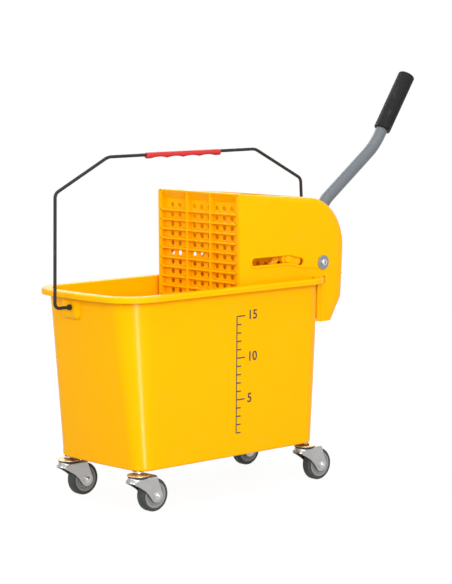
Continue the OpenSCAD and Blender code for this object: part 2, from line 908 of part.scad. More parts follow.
module drain_floor() {
    floor_l = inside_x - grid_back_x;
    columns = floor(floor_l / hole_pitch) - 1;
    color(deep_yellow)
        difference() {
            translate([grid_back_x, -cheek_in, casing_low_z])
                cube([floor_l, 2 * cheek_in, casing_wall]);
            for (i = [0:columns - 1], y = hole_ys)
                translate([
                    grid_back_x + floor_l / 2 + (i - (columns - 1) / 2) * hole_pitch,
                    y,
                    casing_low_z - over
                ])
                    cylinder(d = hole_d, h = casing_wall + 2 * over);
        }
}

module press_plate() {
    boss_r = rod_r + rod_boss_wall;
    boss_y = plate_y - rod_boss_w;
    plate_rows = [for (z = row_zs) if (z > plate_low_z + hole_d && z < plate_top_z - hole_d) z];
    plate_ys = [for (y = hole_ys) if (abs(y) < plate_y - hole_d) y];
    color(yellow)
        difference() {
            union() {
                translate([plate_x, -plate_y, plate_low_z])
                    cube([plate_t, 2 * plate_y, plate_top_z - plate_low_z]);
                both_sides() {
                    bar_y(rod_rest, boss_r, boss_y, plate_y);
                    translate([plate_x, boss_y, slot_z - boss_r])
                        cube([rod_back, rod_boss_w, 2 * boss_r]);
                    translate([plate_x, plate_y - grid_rib, plate_low_z])
                        cube([rod_back, grid_rib, plate_top_z - plate_low_z]);
                }
            }
            for (y = plate_ys, z = plate_rows)
                if (abs(z - slot_z) > boss_r + hole_d || abs(y) < boss_y - hole_d)
                    drain_hole(plate_x - over, y, z, plate_t + 2 * over);
            bar_y(rod_rest, rod_r + run_gap, -plate_y - over, plate_y + over);
        }
}

module guide_rod() {
    color(steel)
        bar_y(rod_rest, rod_r, -rod_end, rod_end);
}

module guide_shoes() {
    shoe_r = slot_r - face_gap;
    reach = [shoe_l / 2 - shoe_r, 0];
    color(yellow)
        both_sides()
            difference() {
                union() {
                    link(rod_rest - reach, rod_rest + reach, shoe_r, shoe_in, cheek_out);
                    link(rod_rest - reach, rod_rest + reach, shoe_flange_r, shoe_in, cheek_in - face_gap);
                }
                bar_y(rod_rest, rod_r + run_gap, shoe_in - over, rod_end + run_gap);
            }
}

module cam_arm() {
    first = pivot + cam_point(0);
    difference() {
        union() {
            along_y(cam_in, cam_out)
                polygon(cam_ribbon(cam_r));
            bar_y(first, cam_r, cam_in, cam_out);
            bar_y(pivot + cam_point(1), cam_r, cam_in, cam_out);
            along_y(cam_in, cam_out)
                polygon([
                    pivot + [0, hub_d / 2],
                    pivot - [0, hub_d / 2],
                    first + cam_r * cam_normal(0),
                    first - cam_r * cam_normal(0)
                ]);
        }
        along_y(cam_in - over, cam_out + over)
            polygon(cam_ribbon(cam_slot_r));
        bar_y(first, cam_slot_r, cam_in - over, cam_out + over);
        bar_y(pivot + cam_point(1), cam_slot_r, cam_in - over, cam_out + over);
    }
}

module rocker() {
    color(deep_yellow)
        difference() {
            union() {
                bar_y(pivot, hub_d / 2, -hub_end, hub_end);
                both_sides()
                    cam_arm();
                on_lower_lever(0)
                    cylinder(r = socket_r, h = socket_l);
            }
            bar_y(pivot, pivot_d / 2 + run_gap, -hub_end - over, hub_end + over);
            on_lower_lever(tube_start - face_gap)
                cylinder(r = lever_r + run_gap, h = socket_l);
            on_lower_lever(bolt_at)
                bar_y([0, 0], bolt_d / 2 + run_gap, -socket_r - over, socket_r + over);
        }
}

module pivot_axle() {
    color(steel)
        difference() {
            bar_y(pivot, pivot_d / 2, -lip_out, lip_out);
            both_sides()
                bar_y(pivot, screw_d / 2 + run_gap, lip_out - screw_l - face_gap, lip_out + over);
        }
}

module hub_spacers() {
    color(black)
        both_sides()
            difference() {
                bar_y(pivot, pivot_d / 2 + spacer_wall, hub_end + face_gap, cheek_in);
                bar_y(pivot, pivot_d / 2 + run_gap, hub_end, cheek_in + over);
            }
}

module pivot_washers() {
    color(steel)
        both_sides()
            difference() {
                bar_y(pivot, washer_d / 2, lip_out, lip_out + washer_t);
                bar_y(pivot, screw_d / 2 + run_gap, lip_out - over, lip_out + washer_t + over);
            }
}

module pivot_screws() {
    head_y = lip_out + washer_t;
    color(steel)
        both_sides() {
            bar_y(pivot, screw_d / 2, lip_out - screw_l, head_y + screw_head_h / 2);
            bar_y(pivot, screw_head_d / 2, head_y, head_y + screw_head_h);
        }
}

module lever_tube() {
    from = pivot + tube_start * [cos(lever_low_angle), sin(lever_low_angle)];
    past_from = from - over * [cos(lever_low_angle), sin(lever_low_angle)];
    past_tip = lever_tip + over * [cos(lever_up_angle), sin(lever_up_angle)];
    color(paint_grey)
        difference() {
            swept_rod(bent_line([from, knee, lever_tip], [0, knee_bend, 0]), lever_r, tube_sides);
            swept_rod(
                bent_line([past_from, knee, past_tip], [0, knee_bend, 0]),
                lever_r - lever_wall, tube_sides
            );
            on_lower_lever(bolt_at)
                bar_y([0, 0], bolt_d / 2 + run_gap, -lever_d, lever_d);
        }
}

module lever_grip() {
    color(black)
        difference() {
            on_upper_lever(lever_up_l - grip_l)
                cylinder(d = grip_d, h = grip_l);
            on_upper_lever(lever_up_l - grip_l - over)
                cylinder(r = lever_r + run_gap, h = grip_l - grip_end + over);
        }
}

module lever_bolt() {
    color(steel)
        on_lower_lever(bolt_at) {
            bar_y([0, 0], bolt_d / 2, -socket_r, socket_r);
            both_sides()
                bar_y([0, 0], bolt_d / 2 + bolt_head_out, socket_r, socket_r + bolt_head_h);
        }
}

module caster_stem() {
    color(steel) {
        translate([0, 0, crown_z - face_gap - stem_foot_h])
            cylinder(r = stem_foot_r, h = stem_foot_h);
        translate([0, 0, crown_z - face_gap])
            cylinder(r = stem_r, h = base_z + socket_h - face_gap - crown_z);
        translate([0, 0, collar_z])
            cylinder(d = stem_collar_d, h = stem_collar_h);
    }
}

module race_dish() {
    lip_low = race_z + dish_gap;
    outer = crown_d / 2;
    color(zinc)
        rotate_extrude()
            polygon([
                [stem_r + run_gap, dish_z],
                [outer - dish_lip, dish_z],
                [outer - dish_lip, lip_low],
                [outer, lip_low],
                [outer, dish_z],
                [outer - dish_chamfer, collar_z],
                [stem_r + run_gap, collar_z]
            ]);
}

module race_balls() {
    ring_r = (stem_r + crown_d / 2 - dish_lip) / 2;
    color(steel)
        for (i = [0:ball_count - 1])
            rotate([0, 0, 360 * i / ball_count])
                translate([ring_r, 0, race_z + race_h / 2])
                    sphere(d = ball_d);
}

// One leg of the fork, from the crown down to the axle
module fork_leg() {
    axle = [trail, axle_z];
    front_top = [leg_inset - crown_d / 2, race_z];
    rear_top = [fork_rear, race_z];
    along_y(leg_in, leg_out)
        polygon([
            front_top,
            touch(front_top, axle, leg_end_r - leg_merge, 1),
            touch(rear_top, axle, leg_end_r - leg_merge, -1),
            rear_top
        ]);
    bar_y(axle, leg_end_r, leg_in, leg_out);
}

module fork() {
    color(steel)
        difference() {
            union() {
                translate([0, 0, crown_z])
                    cylinder(d = crown_d, h = fork_t);
                translate([0, -leg_in - fork_t / 2, crown_z])
                    cube([fork_rear - fork_t, 2 * leg_in + fork_t, fork_t]);
                both_sides()
                    fork_leg();
            }
            translate([0, 0, crown_z - over])
                cylinder(r = stem_r + run_gap, h = fork_t + 2 * over);
            bar_y([trail, axle_z], axle_d / 2 + run_gap, -leg_out - over, leg_out + over);
        }
}

module wheel_axle() {
    axle = [trail, axle_z];
    color(steel) {
        bar_y(axle, axle_d / 2, -leg_out, leg_out);
        both_sides()
            bar_y(axle, axle_head_d / 2, leg_out, leg_out + axle_head_h);
    }
}

module wheel_hub() {
    axle = [trail, axle_z];
    edge_r = wheel_hub_d / 2 - hub_edge;
    boss_r = axle_d / 2 + hub_boss_wall;
    half_w = tyre_w / 2 - hub_inset;
    web = half_w - hub_dish;
    color(hub_grey)
        translate([axle.x, 0, axle.y])
            rotate([90, 0, 0])
                rotate_extrude()
                    polygon([
                        [axle_d / 2 + run_gap, face_gap - leg_in],
                        [boss_r, face_gap - leg_in],
                        [boss_r + hub_slope, -web],
                        [edge_r, -web],
                        [edge_r + hub_slope, -half_w],
                        [wheel_hub_d / 2, -half_w],
                        [wheel_hub_d / 2, half_w],
                        [edge_r + hub_slope, half_w],
                        [edge_r, web],
                        [boss_r + hub_slope, web],
                        [boss_r, leg_in - face_gap],
                        [axle_d / 2 + run_gap, leg_in - face_gap]
                    ]);
}

module tyre() {
    axle = [trail, axle_z];
    half_w = tyre_w / 2;
    outer = wheel_d / 2;
    inner = wheel_hub_d / 2;
    color(tyre_grey)
        translate([axle.x, 0, axle.y])
            rotate([90, 0, 0])
                rotate_extrude()
                    polygon(rounded(
                        [[inner, -half_w], [outer, -half_w], [outer, half_w], [inner, half_w]],
                        [0, tread_round, tread_round, 0]
                    ));
}

module at_caster(end, side) {
    translate([end * stem_x, side * stem_y, 0])
        children();
}

bucket_tub();
bail_wire();
bail_grip();
wringer_casing();
front_grid();
drain_floor();
press_plate();
guide_rod();
guide_shoes();
rocker();
pivot_axle();
hub_spacers();
pivot_washers();
pivot_screws();
lever_tube();
lever_grip();
lever_bolt();
at_caster(-1, -1) caster_stem();  // front_left_stem
at_caster(-1, -1) race_dish();  // front_left_race_dish
at_caster(-1, -1) race_balls();  // front_left_balls
at_caster(-1, -1) fork();  // front_left_fork
at_caster(-1, -1) wheel_axle();  // front_left_axle
at_caster(-1, -1) wheel_hub();  // front_left_wheel_hub
at_caster(-1, -1) tyre();  // front_left_tyre
at_caster(-1, 1) caster_stem();  // front_right_stem
at_caster(-1, 1) race_dish();  // front_right_race_dish
at_caster(-1, 1) race_balls();  // front_right_balls
at_caster(-1, 1) fork();  // front_right_fork
at_caster(-1, 1) wheel_axle();  // front_right_axle
at_caster(-1, 1) wheel_hub();  // front_right_wheel_hub
at_caster(-1, 1) tyre();  // front_right_tyre
at_caster(1, -1) caster_stem();  // rear_left_stem
at_caster(1, -1) race_dish();  // rear_left_race_dish
at_caster(1, -1) race_balls();  // rear_left_balls
at_caster(1, -1) fork();  // rear_left_fork
at_caster(1, -1) wheel_axle();  // rear_left_axle
at_caster(1, -1) wheel_hub();  // rear_left_wheel_hub
at_caster(1, -1) tyre();  // rear_left_tyre
at_caster(1, 1) caster_stem();  // rear_right_stem
at_caster(1, 1) race_dish();  // rear_right_race_dish
at_caster(1, 1) race_balls();  // rear_right_balls
at_caster(1, 1) fork();  // rear_right_fork
at_caster(1, 1) wheel_axle();  // rear_right_axle
at_caster(1, 1) wheel_hub();  // rear_right_wheel_hub
at_caster(1, 1) tyre();  // rear_right_tyre
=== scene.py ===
"""Looks of a mop bucket trolley with a side-press wringer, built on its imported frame.

Every shape is drawn in millimetres in the frame's own axes and becomes a piece in metres.
"""

import json
import logging
import math
from collections.abc import Sequence
from dataclasses import dataclass
from enum import Enum

import bmesh
import bpy
from mathutils import Matrix, Vector


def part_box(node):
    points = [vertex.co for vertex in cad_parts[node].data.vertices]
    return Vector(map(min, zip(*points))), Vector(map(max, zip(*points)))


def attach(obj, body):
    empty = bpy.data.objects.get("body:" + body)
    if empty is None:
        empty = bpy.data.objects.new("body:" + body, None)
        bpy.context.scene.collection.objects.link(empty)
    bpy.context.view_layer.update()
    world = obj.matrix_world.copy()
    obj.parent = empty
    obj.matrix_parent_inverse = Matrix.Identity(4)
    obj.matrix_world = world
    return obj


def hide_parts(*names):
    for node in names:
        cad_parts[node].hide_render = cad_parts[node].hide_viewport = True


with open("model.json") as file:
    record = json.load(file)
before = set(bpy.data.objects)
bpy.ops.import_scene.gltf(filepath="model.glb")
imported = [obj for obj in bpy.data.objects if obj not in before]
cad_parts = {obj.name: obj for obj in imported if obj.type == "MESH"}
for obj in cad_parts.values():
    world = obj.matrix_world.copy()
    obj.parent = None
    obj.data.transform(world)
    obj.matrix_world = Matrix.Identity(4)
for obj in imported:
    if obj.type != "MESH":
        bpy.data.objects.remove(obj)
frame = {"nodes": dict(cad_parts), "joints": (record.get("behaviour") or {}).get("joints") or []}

MILLIMETRE = 0.001
LOG = logging.getLogger("mop_bucket_trolley")
Colour = tuple[float, float, float]
Line = list[Vector]

STREAK_SCALE = (30.0, 240.0, 60.0)
STREAK_TURN = (0.3, 0.5, 0.7)
SCUFF_BAND = (0.62, 0.72)
GLOSS_BAND = (0.3, 0.7)
CAD_WELD = 0.002
CUT_WELD = 0.01
RULE_WELD = 0.001


def in_scene(name: str, data: bpy.types.ID) -> bpy.types.Object:
    """Adds an object with its data to the scene.

    Args:
        name: The object's name.
        data: Its mesh, text, lamp or camera.

    Returns:
        The object.
    """
    obj = bpy.data.objects.new(name, data)
    bpy.context.scene.collection.objects.link(obj)
    return obj


def discard(obj: bpy.types.Object) -> None:
    """Removes an object and its mesh.

    Args:
        obj: An object that holds a mesh.
    """
    mesh = obj.data
    bpy.data.objects.remove(obj)
    bpy.data.meshes.remove(mesh)


def turned(angle: float, axis: str) -> Matrix:
    """Gives a turn about an axis by an angle in degrees."""
    return Matrix.Rotation(math.radians(angle), 4, axis)


def one_side(side: int, a: float, b: float) -> list[float]:
    """Gives two places on one side of the middle plane, the lower first."""
    return sorted((side * a, side * b))


def upright(x: float, z: float) -> Matrix:
    """Gives the place of a sheet that stands across X, with its back at x and its middle at z."""
    return Matrix(((0, 0, -1, x), (-1, 0, 0, 0), (0, 1, 0, z), (0, 0, 0, 1)))


def oblong(left: float, low: float, right: float, high: float) -> list[tuple[float, float]]:
    """Gives the corners of a flat oblong, anticlockwise from its lower left."""
    return [(left, low), (right, low), (right, high), (left, high)]


def stood(outline: Sequence[Vector], y: float) -> Line:
    """Gives an outline in X and Z as points in space at a place along Y."""
    return [Vector((p.x, y, p.y)) for p in outline]


class Wiring:
    """A node tree under construction."""

    def __init__(self, tree: bpy.types.NodeTree) -> None:
        """Starts on a tree."""
        self.tree = tree

    def node(self, kind: str, outlet: str | int = 0, **inlets: object) -> bpy.types.NodeSocket:
        """Adds a node.

        Args:
            kind: The node's full type, or a geometry node's type after its prefix.
            outlet: Which of its outlets is wanted.
            inlets: Values or sockets by inlet name, with _ for a space, or its own settings.

        Returns:
            The wanted outlet.
        """
        full = kind if kind.startswith(("Shader", "Function")) else "GeometryNode" + kind
        node = self.tree.nodes.new(full)
        for key, value in inlets.items():
            if hasattr(node, key):
                setattr(node, key, value)
                continue
            inlet = node.inputs[int(key[1:]) if key[1:].isdigit() else key.replace("_", " ")]
            for item in value if isinstance(value, list) else [value]:
                if isinstance(item, bpy.types.NodeSocket):
                    self.tree.links.new(item, inlet)
                else:
                    inlet.default_value = item
        return node.outputs[outlet]

    def math(self, operation: str, *values: object) -> bpy.types.NodeSocket:
        """Adds a calculation on one or two values."""
        inlets = {f"i{i}": value for i, value in enumerate(values)}
        return self.node("ShaderNodeMath", operation=operation, **inlets)


class Slot(Enum):
    """Material slots of the record that the finishes stand for."""

    YELLOW = "yellow_plastic"
    WIRE = "black_wire"
    RED = "red_plastic"
    PAINT = "grey_paint"
    GRIP = "black_rubber"
    SPACER = "black_plastic"
    STEEL = "bright_steel"
    SHEET = "zinc_sheet"
    BRASS = "yellow_zinc"
    HUB = "grey_plastic"
    TYRE = "grey_tyre"


class Grain(Enum):
    """Ways in which a surface's fine grain runs."""

    EVEN = (1.0, 1.0, 1.0)
    BRUSHED = (1.0, 1.0, 0.08)


@dataclass(frozen=True)
class Finish:
    """A surface with mottled colour, fine grain, uneven gloss and light scuffs.

    Colours are linear. Pattern sizes are counted in waves a metre, depths are in metres.
    """

    slot: Slot
    colour: Colour
    mottle: Colour
    metallic: float = 0.0
    roughness: float = 0.4
    gloss_spread: float = 0.1
    specular: float = 0.4
    mottle_scale: float = 14.0
    grain: Grain = Grain.EVEN
    grain_scale: float = 900.0
    grain_depth: float = 0.00004
    scuff: float = 0.1
    label: str = ""

    def material(self) -> bpy.types.Material:
        """Gives the finish's material, made at its first use.

        Returns:
            The material, with every pattern on object coordinates.
        """
        name = "finish_" + (self.label or self.slot.value)
        made = bpy.data.materials.get(name)
        if made is not None:
            return made
        made = bpy.data.materials.new(name)
        made.use_nodes = True
        web = Wiring(made.node_tree)
        link = made.node_tree.links.new
        shader = made.node_tree.nodes["Principled BSDF"].inputs
        shader["Metallic"].default_value = self.metallic
        shader["Specular IOR Level"].default_value = self.specular
        place = web.node("ShaderNodeTexCoord", "Object")

        tone = self.noise(web, place, self.mottle_scale, detail=3.0)
        tint = self.mix(web, tone, (*self.colour, 1.0), (*self.mottle, 1.0))
        stretch = web.node("ShaderNodeMapping", Vector=place, Scale=STREAK_SCALE, Rotation=STREAK_TURN)
        streaks = self.noise(web, stretch, scale=1.0, detail=2.0)
        scuffs = self.band(web, streaks, SCUFF_BAND, (0.0, self.scuff))
        pale = (*(0.5 + 0.5 * c for c in self.colour), 1.0)
        link(self.mix(web, scuffs, tint, pale), shader["Base Color"])

        cloud = self.noise(web, place, 3.0 * self.mottle_scale, detail=4.0)
        low = self.roughness - self.gloss_spread / 2
        gloss = self.band(web, cloud, GLOSS_BAND, (low, low + self.gloss_spread))
        link(web.math("ADD", gloss, scuffs), shader["Roughness"])

        run = web.node("ShaderNodeMapping", Vector=place, Scale=self.grain.value)
        fine = self.noise(web, run, self.grain_scale, detail=2.0)
        bump = web.node("ShaderNodeBump", "Normal", Strength=1.0, Distance=self.grain_depth, Height=fine)
        link(bump, shader["Normal"])
        return made

    @staticmethod
    def noise(
        web: Wiring, place: bpy.types.NodeSocket, scale: float, detail: float
    ) -> bpy.types.NodeSocket:
        """Adds a noise pattern and gives its value socket."""
        return web.node("ShaderNodeTexNoise", "Fac", Scale=scale, Detail=detail, Vector=place)

    @staticmethod
    def mix(web: Wiring, share: bpy.types.NodeSocket, a: object, b: object) -> bpy.types.NodeSocket:
        """Adds a mix of two colours and gives its colour socket."""
        return web.node("ShaderNodeMix", "Result", data_type="RGBA", Factor=share, A=a, B=b)

    @staticmethod
    def band(
        web: Wiring,
        value: bpy.types.NodeSocket,
        source: tuple[float, float],
        target: tuple[float, float],
    ) -> bpy.types.NodeSocket:
        """Adds a node that carries one range of values to another and gives its socket."""
        return web.node(
            "ShaderNodeMapRange", "Result", Value=value,
            From_Min=source[0], From_Max=source[1], To_Min=target[0], To_Max=target[1],
        )


YELLOW = Finish(
    Slot.YELLOW, (1.0, 0.468, 0.0), (0.985, 0.453, 0.0),
    roughness=0.25, gloss_spread=0.05, specular=0.05, grain_depth=0.00001, scuff=0.015,
)
WIRE = Finish(
    Slot.WIRE, (0.024, 0.022, 0.022), (0.036, 0.033, 0.033), roughness=0.38, specular=0.12, scuff=0.05
)
RED = Finish(Slot.RED, (0.58, 0.032, 0.034), (0.52, 0.028, 0.03), roughness=0.42, specular=0.3, scuff=0.08)
PAINT = Finish(
    Slot.PAINT, (0.15, 0.165, 0.184), (0.13, 0.145, 0.164),
    roughness=0.42, specular=0.3, grain_depth=0.000008, scuff=0.04,
)
GRIP = Finish(
    Slot.GRIP, (0.006, 0.006, 0.006), (0.010, 0.010, 0.010), roughness=0.45, specular=0.16, scuff=0.06
)
SPACER = Finish(Slot.SPACER, (0.03, 0.03, 0.03), (0.05, 0.05, 0.05), roughness=0.5)
STEEL = Finish(
    Slot.STEEL, (0.62, 0.62, 0.62), (0.5, 0.5, 0.51), metallic=1.0,
    roughness=0.28, grain=Grain.BRUSHED, grain_depth=0.00002, scuff=0.08,
)
WASHER = Finish(
    Slot.STEEL, (0.30, 0.32, 0.34), (0.25, 0.27, 0.29), metallic=1.0, roughness=0.5,
    mottle_scale=60.0, grain_depth=0.00002, scuff=0.06, label="dull_steel",
)
SHEET = Finish(
    Slot.SHEET, (0.47, 0.465, 0.455), (0.38, 0.375, 0.37), metallic=1.0,
    roughness=0.36, mottle_scale=60.0, grain=Grain.BRUSHED, grain_depth=0.00002, scuff=0.1,
)
BRASS = Finish(
    Slot.BRASS, (0.72, 0.53, 0.28), (0.6, 0.4, 0.19), metallic=1.0,
    roughness=0.34, mottle_scale=70.0, grain_depth=0.00002, scuff=0.08,
)
HUB = Finish(Slot.HUB, (0.27, 0.272, 0.272), (0.235, 0.238, 0.238), roughness=0.45, scuff=0.1)
TYRE = Finish(Slot.TYRE, (0.034, 0.042, 0.037), (0.048, 0.056, 0.05), roughness=0.62, specular=0.3, scuff=0.1)


def cad_box(node: str) -> tuple[Vector, Vector]:
    """Gives the lowest and highest corners of a CAD node in millimetres."""
    low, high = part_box(node)
    return low / MILLIMETRE, high / MILLIMETRE


def unit(v: Vector) -> Vector:
    """Gives a vector's direction."""
    return v.normalized()


def polar(angle: float, length: float = 1.0) -> Vector:
    """Gives a flat vector from its angle in degrees and its length."""
    return length * Vector((math.cos(math.radians(angle)), math.sin(math.radians(angle))))


def arc(centre: Sequence[float], radius: float, start: float, end: float, steps: int) -> Line:
    """Gives the points of a flat arc after its first one, from angles in degrees."""
    middle = Vector(centre)
    return [middle + polar(start + (end - start) * i / steps, radius) for i in range(1, steps + 1)]


def round_corner(before: Vector, p: Vector, after: Vector, radius: float, steps: int) -> Line:
    """Rounds the corner of a flat line.

    Args:
        before: Point before the corner.
        p: The corner.
        after: Point after the corner.
        radius: Radius of the rounding.
        steps: Number of stretches along it.

    Returns:
        The points of the rounding, both ends included.
    """
    u = unit(before - p)
    w = unit(after - p)
    half = math.acos(max(-1.0, min(1.0, u.dot(w)))) / 2
    centre = p + unit(u + w) * radius / math.sin(half)
    start = p + u * radius / math.tan(half) - centre
    end = p + w * radius / math.tan(half) - centre
    a = math.degrees(math.atan2(start.y, start.x))
    b = math.degrees(math.atan2(end.y, end.x))
    sweep = (b - a + 540) % 360 - 180
    return [centre + start] + arc(centre, radius, a, a + sweep, steps)


def rounded(points: Sequence[Sequence[float]], radii: Sequence[float], steps: int) -> Line:
    """Rounds the points of a flat outline, or of a line whose ends have no radius.

    Args:
        points: The corners in order.
        radii: Radius at each corner, 0 for a sharp one.
        steps: Number of stretches along each rounding.

    Returns:
        The rounded points.
    """
    line = [Vector(p) for p in points]
    out: Line = []
    for i, (p, radius) in enumerate(zip(line, radii)):
        if radius > 0:
            out += round_corner(line[i - 1], p, line[(i + 1) % len(line)], radius, steps)
        else:
            out.append(p)
    return out


def ribbon(path: Sequence[Vector], radius: float, steps: int = 14) -> Line:
    """Gives the closed outline of a bar with round ends along a slightly bent line.

    Args:
        path: The bar's middle line.
        radius: Half of the bar's width.
        steps: Number of stretches round each end.

    Returns:
        The outline's points.
    """
    ways = [unit(b - a) for a, b in zip(path, path[1:])]
    turns = [ways[0]] + [unit(a + b) for a, b in zip(ways, ways[1:])] + [ways[-1]]
    sides = [
        Vector((-t.y, t.x)) * radius / t.dot(ways[max(i - 1, 0)]) for i, t in enumerate(turns)
    ]
    last = math.degrees(math.atan2(sides[-1].y, sides[-1].x))
    first = math.degrees(math.atan2(sides[0].y, sides[0].x))
    out = [p + s for p, s in zip(path, sides)]
    out += arc(path[-1], radius, last, last - 180, steps)
    out += [p - s for p, s in list(zip(path, sides))[-2::-1]]
    out += arc(path[0], radius, first + 180, first, steps)[:-1]
    return out


class Shape:
    """A mesh under construction, in millimetres."""

    def __init__(self) -> None:
        """Starts with nothing."""
        self.bm = bmesh.new()

    @classmethod
    def cad_copy(cls, node: str) -> "Shape":
        """Gives a welded copy of a CAD node's mesh.

        Args:
            node: The CAD node's name.

        Returns:
            The copy.
        """
        shape = cls()
        shape.bm.from_mesh(frame["nodes"][node].data)
        bmesh.ops.transform(shape.bm, matrix=Matrix.Scale(1 / MILLIMETRE, 4), verts=shape.bm.verts)
        bmesh.ops.remove_doubles(shape.bm, verts=shape.bm.verts, dist=CAD_WELD)
        bmesh.ops.dissolve_limit(
            shape.bm, angle_limit=math.radians(1.0), verts=shape.bm.verts, edges=shape.bm.edges
        )
        return shape

    def loft(self, rings: Sequence[Sequence[Vector]]) -> "Shape":
        """Adds a skin over closed rings of as many points, with a face over both ends.

        Args:
            rings: Rings of points in space.

        Returns:
            This shape.
        """
        rows = [[self.bm.verts.new(p) for p in ring] for ring in rings]
        faces = []
        for low, high in zip(rows, rows[1:]):
            n = len(low)
            for i in range(n):
                faces.append(self.bm.faces.new((low[i], low[(i + 1) % n], high[(i + 1) % n], high[i])))
        faces.append(self.bm.faces.new(rows[0][::-1]))
        faces.append(self.bm.faces.new(rows[-1]))
        bmesh.ops.recalc_face_normals(self.bm, faces=faces)
        return self

    def lathe(
        self, profile: Sequence[Sequence[float]], place: Matrix, steps: int = 64, closed: bool = True
    ) -> "Shape":
        """Adds a turned solid.

        Args:
            profile: Points of radius and height, the axis being local Z.
            place: Where the local frame lies.
            steps: Number of stretches round the axis.
            closed: Whether the profile's last point joins its first, as on a ring.

        Returns:
            This shape.
        """
        rows: list[list[bmesh.types.BMVert]] = []
        for radius, height in profile:
            count = steps if radius > 1e-6 else 1
            rows.append([
                self.bm.verts.new(place @ Vector((*polar(360 * i / steps, radius), height)))
                for i in range(count)
            ])
        pairs = list(zip(rows, rows[1:]))
        if closed:
            pairs.append((rows[-1], rows[0]))
        faces = []
        for low, high in pairs:
            if len(low) == len(high) == 1:
                continue
            for i in range(steps):
                j = (i + 1) % steps
                ring = [low[i % len(low)], low[j % len(low)], high[j % len(high)], high[i % len(high)]]
                faces.append(self.bm.faces.new(list(dict.fromkeys(ring))))
        bmesh.ops.recalc_face_normals(self.bm, faces=faces)
        return self

    def sweep(self, line: Sequence[Vector], radii: Sequence[float], sides: int, y: float = 0.0) -> "Shape":
        """Adds a round rod along a line in X and Z.

        Args:
            line: Points of X and Z.
            radii: The rod's radius at each point.
            sides: Number of sides of the rod.
            y: Where the line's plane lies.

        Returns:
            This shape.
        """
        ways = [unit(b - a) for a, b in zip(line, line[1:])]
        rings = []
        for i, (p, radius) in enumerate(zip(line, radii)):
            way = unit(ways[max(i - 1, 0)] + ways[min(i, len(ways) - 1)])
            ring = []
            for k in range(sides):
                across = polar(360 * k / sides, radius)
                ring.append(Vector((p.x - way.y * across.x, y + across.y, p.y + way.x * across.x)))
            rings.append(ring)
        return self.loft(rings)

    def slab(self, outline: Sequence[Vector], start: float, end: float) -> "Shape":
        """Adds an outline in X and Z as a solid between two places along Y."""
        return self.loft([stood(outline, y) for y in (start, end)])

    def box(self, low: Sequence[float], high: Sequence[float], edge: float = 0.0, steps: int = 3) -> "Shape":
        """Adds a box with rounded edges between two corners.

        Args:
            low: Its lowest corner.
            high: Its highest corner.
            edge: Radius of its edges.
            steps: Number of stretches round an edge.

        Returns:
            This shape.
        """
        a, b = Vector(low), Vector(high)
        size = Matrix.Diagonal((*(b - a), 1.0))
        made = bmesh.ops.create_cube(self.bm, size=1.0, matrix=Matrix.Translation((a + b) / 2) @ size)
        if edge > 0:
            edges = list({e for v in made["verts"] for e in v.link_edges})
            bmesh.ops.bevel(
                self.bm, geom=edges, offset=edge, segments=steps, profile=0.5, affect="EDGES"
            )
        return self

    def add(self, mesh: bpy.types.Mesh, place: Matrix = Matrix()) -> "Shape":
        """Adds a plain mesh at a place and frees it.

        Args:
            mesh: The mesh.
            place: Where its frame lies.

        Returns:
            This shape.
        """
        mesh.transform(place)
        self.bm.from_mesh(mesh)
        bpy.data.meshes.remove(mesh)
        return self

    def join(self, *others: "Shape") -> "Shape":
        """Adds other shapes as they stand.

        Args:
            others: The shapes.

        Returns:
            This shape.
        """
        for other in others:
            mesh = bpy.data.meshes.new("part")
            other.bm.to_mesh(mesh)
            self.add(mesh)
        return self

    def moved(self, place: Matrix) -> "Shape":
        """Moves the whole shape.

        Args:
            place: The move, which may mirror it.

        Returns:
            This shape.
        """
        bmesh.ops.transform(self.bm, matrix=place, verts=self.bm.verts)
        if place.determinant() < 0:
            bmesh.ops.reverse_faces(self.bm, faces=self.bm.faces)
        return self

    def _object(self) -> bpy.types.Object:
        """Gives an object of the shape for a modifier to work on.

        Returns:
            The object.
        """
        mesh = bpy.data.meshes.new("part")
        self.bm.to_mesh(mesh)
        return in_scene("part", mesh)

    def _take(self, obj: bpy.types.Object) -> "Shape":
        """Takes what an object's modifiers make as the shape, and frees the object.

        Args:
            obj: The object.

        Returns:
            This shape.
        """
        made = plain_mesh(obj)
        self.bm.free()
        self.bm = bmesh.new()
        self.add(made)
        discard(obj)
        return self

    def carve(self, *cutters: "Shape") -> "Shape":
        """Cuts other shapes out of this one.

        Args:
            cutters: The shapes to cut with.

        Returns:
            This shape.
        """
        obj = self._object()
        tools = [cutter._object() for cutter in cutters]
        for tool in tools:
            cut = obj.modifiers.new("cut", "BOOLEAN")
            cut.operation = "DIFFERENCE"
            cut.solver = "EXACT"
            cut.object = tool
        self._take(obj)
        for tool in tools:
            discard(tool)
        bmesh.ops.remove_doubles(self.bm, verts=self.bm.verts, dist=CUT_WELD)
        return self

    def soften(self, width: float, angle: float = 40.0, steps: int = 2) -> "Shape":
        """Rounds every edge that is sharper than an angle in degrees.

        Args:
            width: Width of the rounding.
            angle: The angle.
            steps: Number of stretches across it.

        Returns:
            This shape.
        """
        obj = self._object()
        edge = obj.modifiers.new("edge", "BEVEL")
        edge.width = width
        edge.segments = steps
        edge.limit_method = "ANGLE"
        edge.angle_limit = math.radians(angle)
        return self._take(obj)

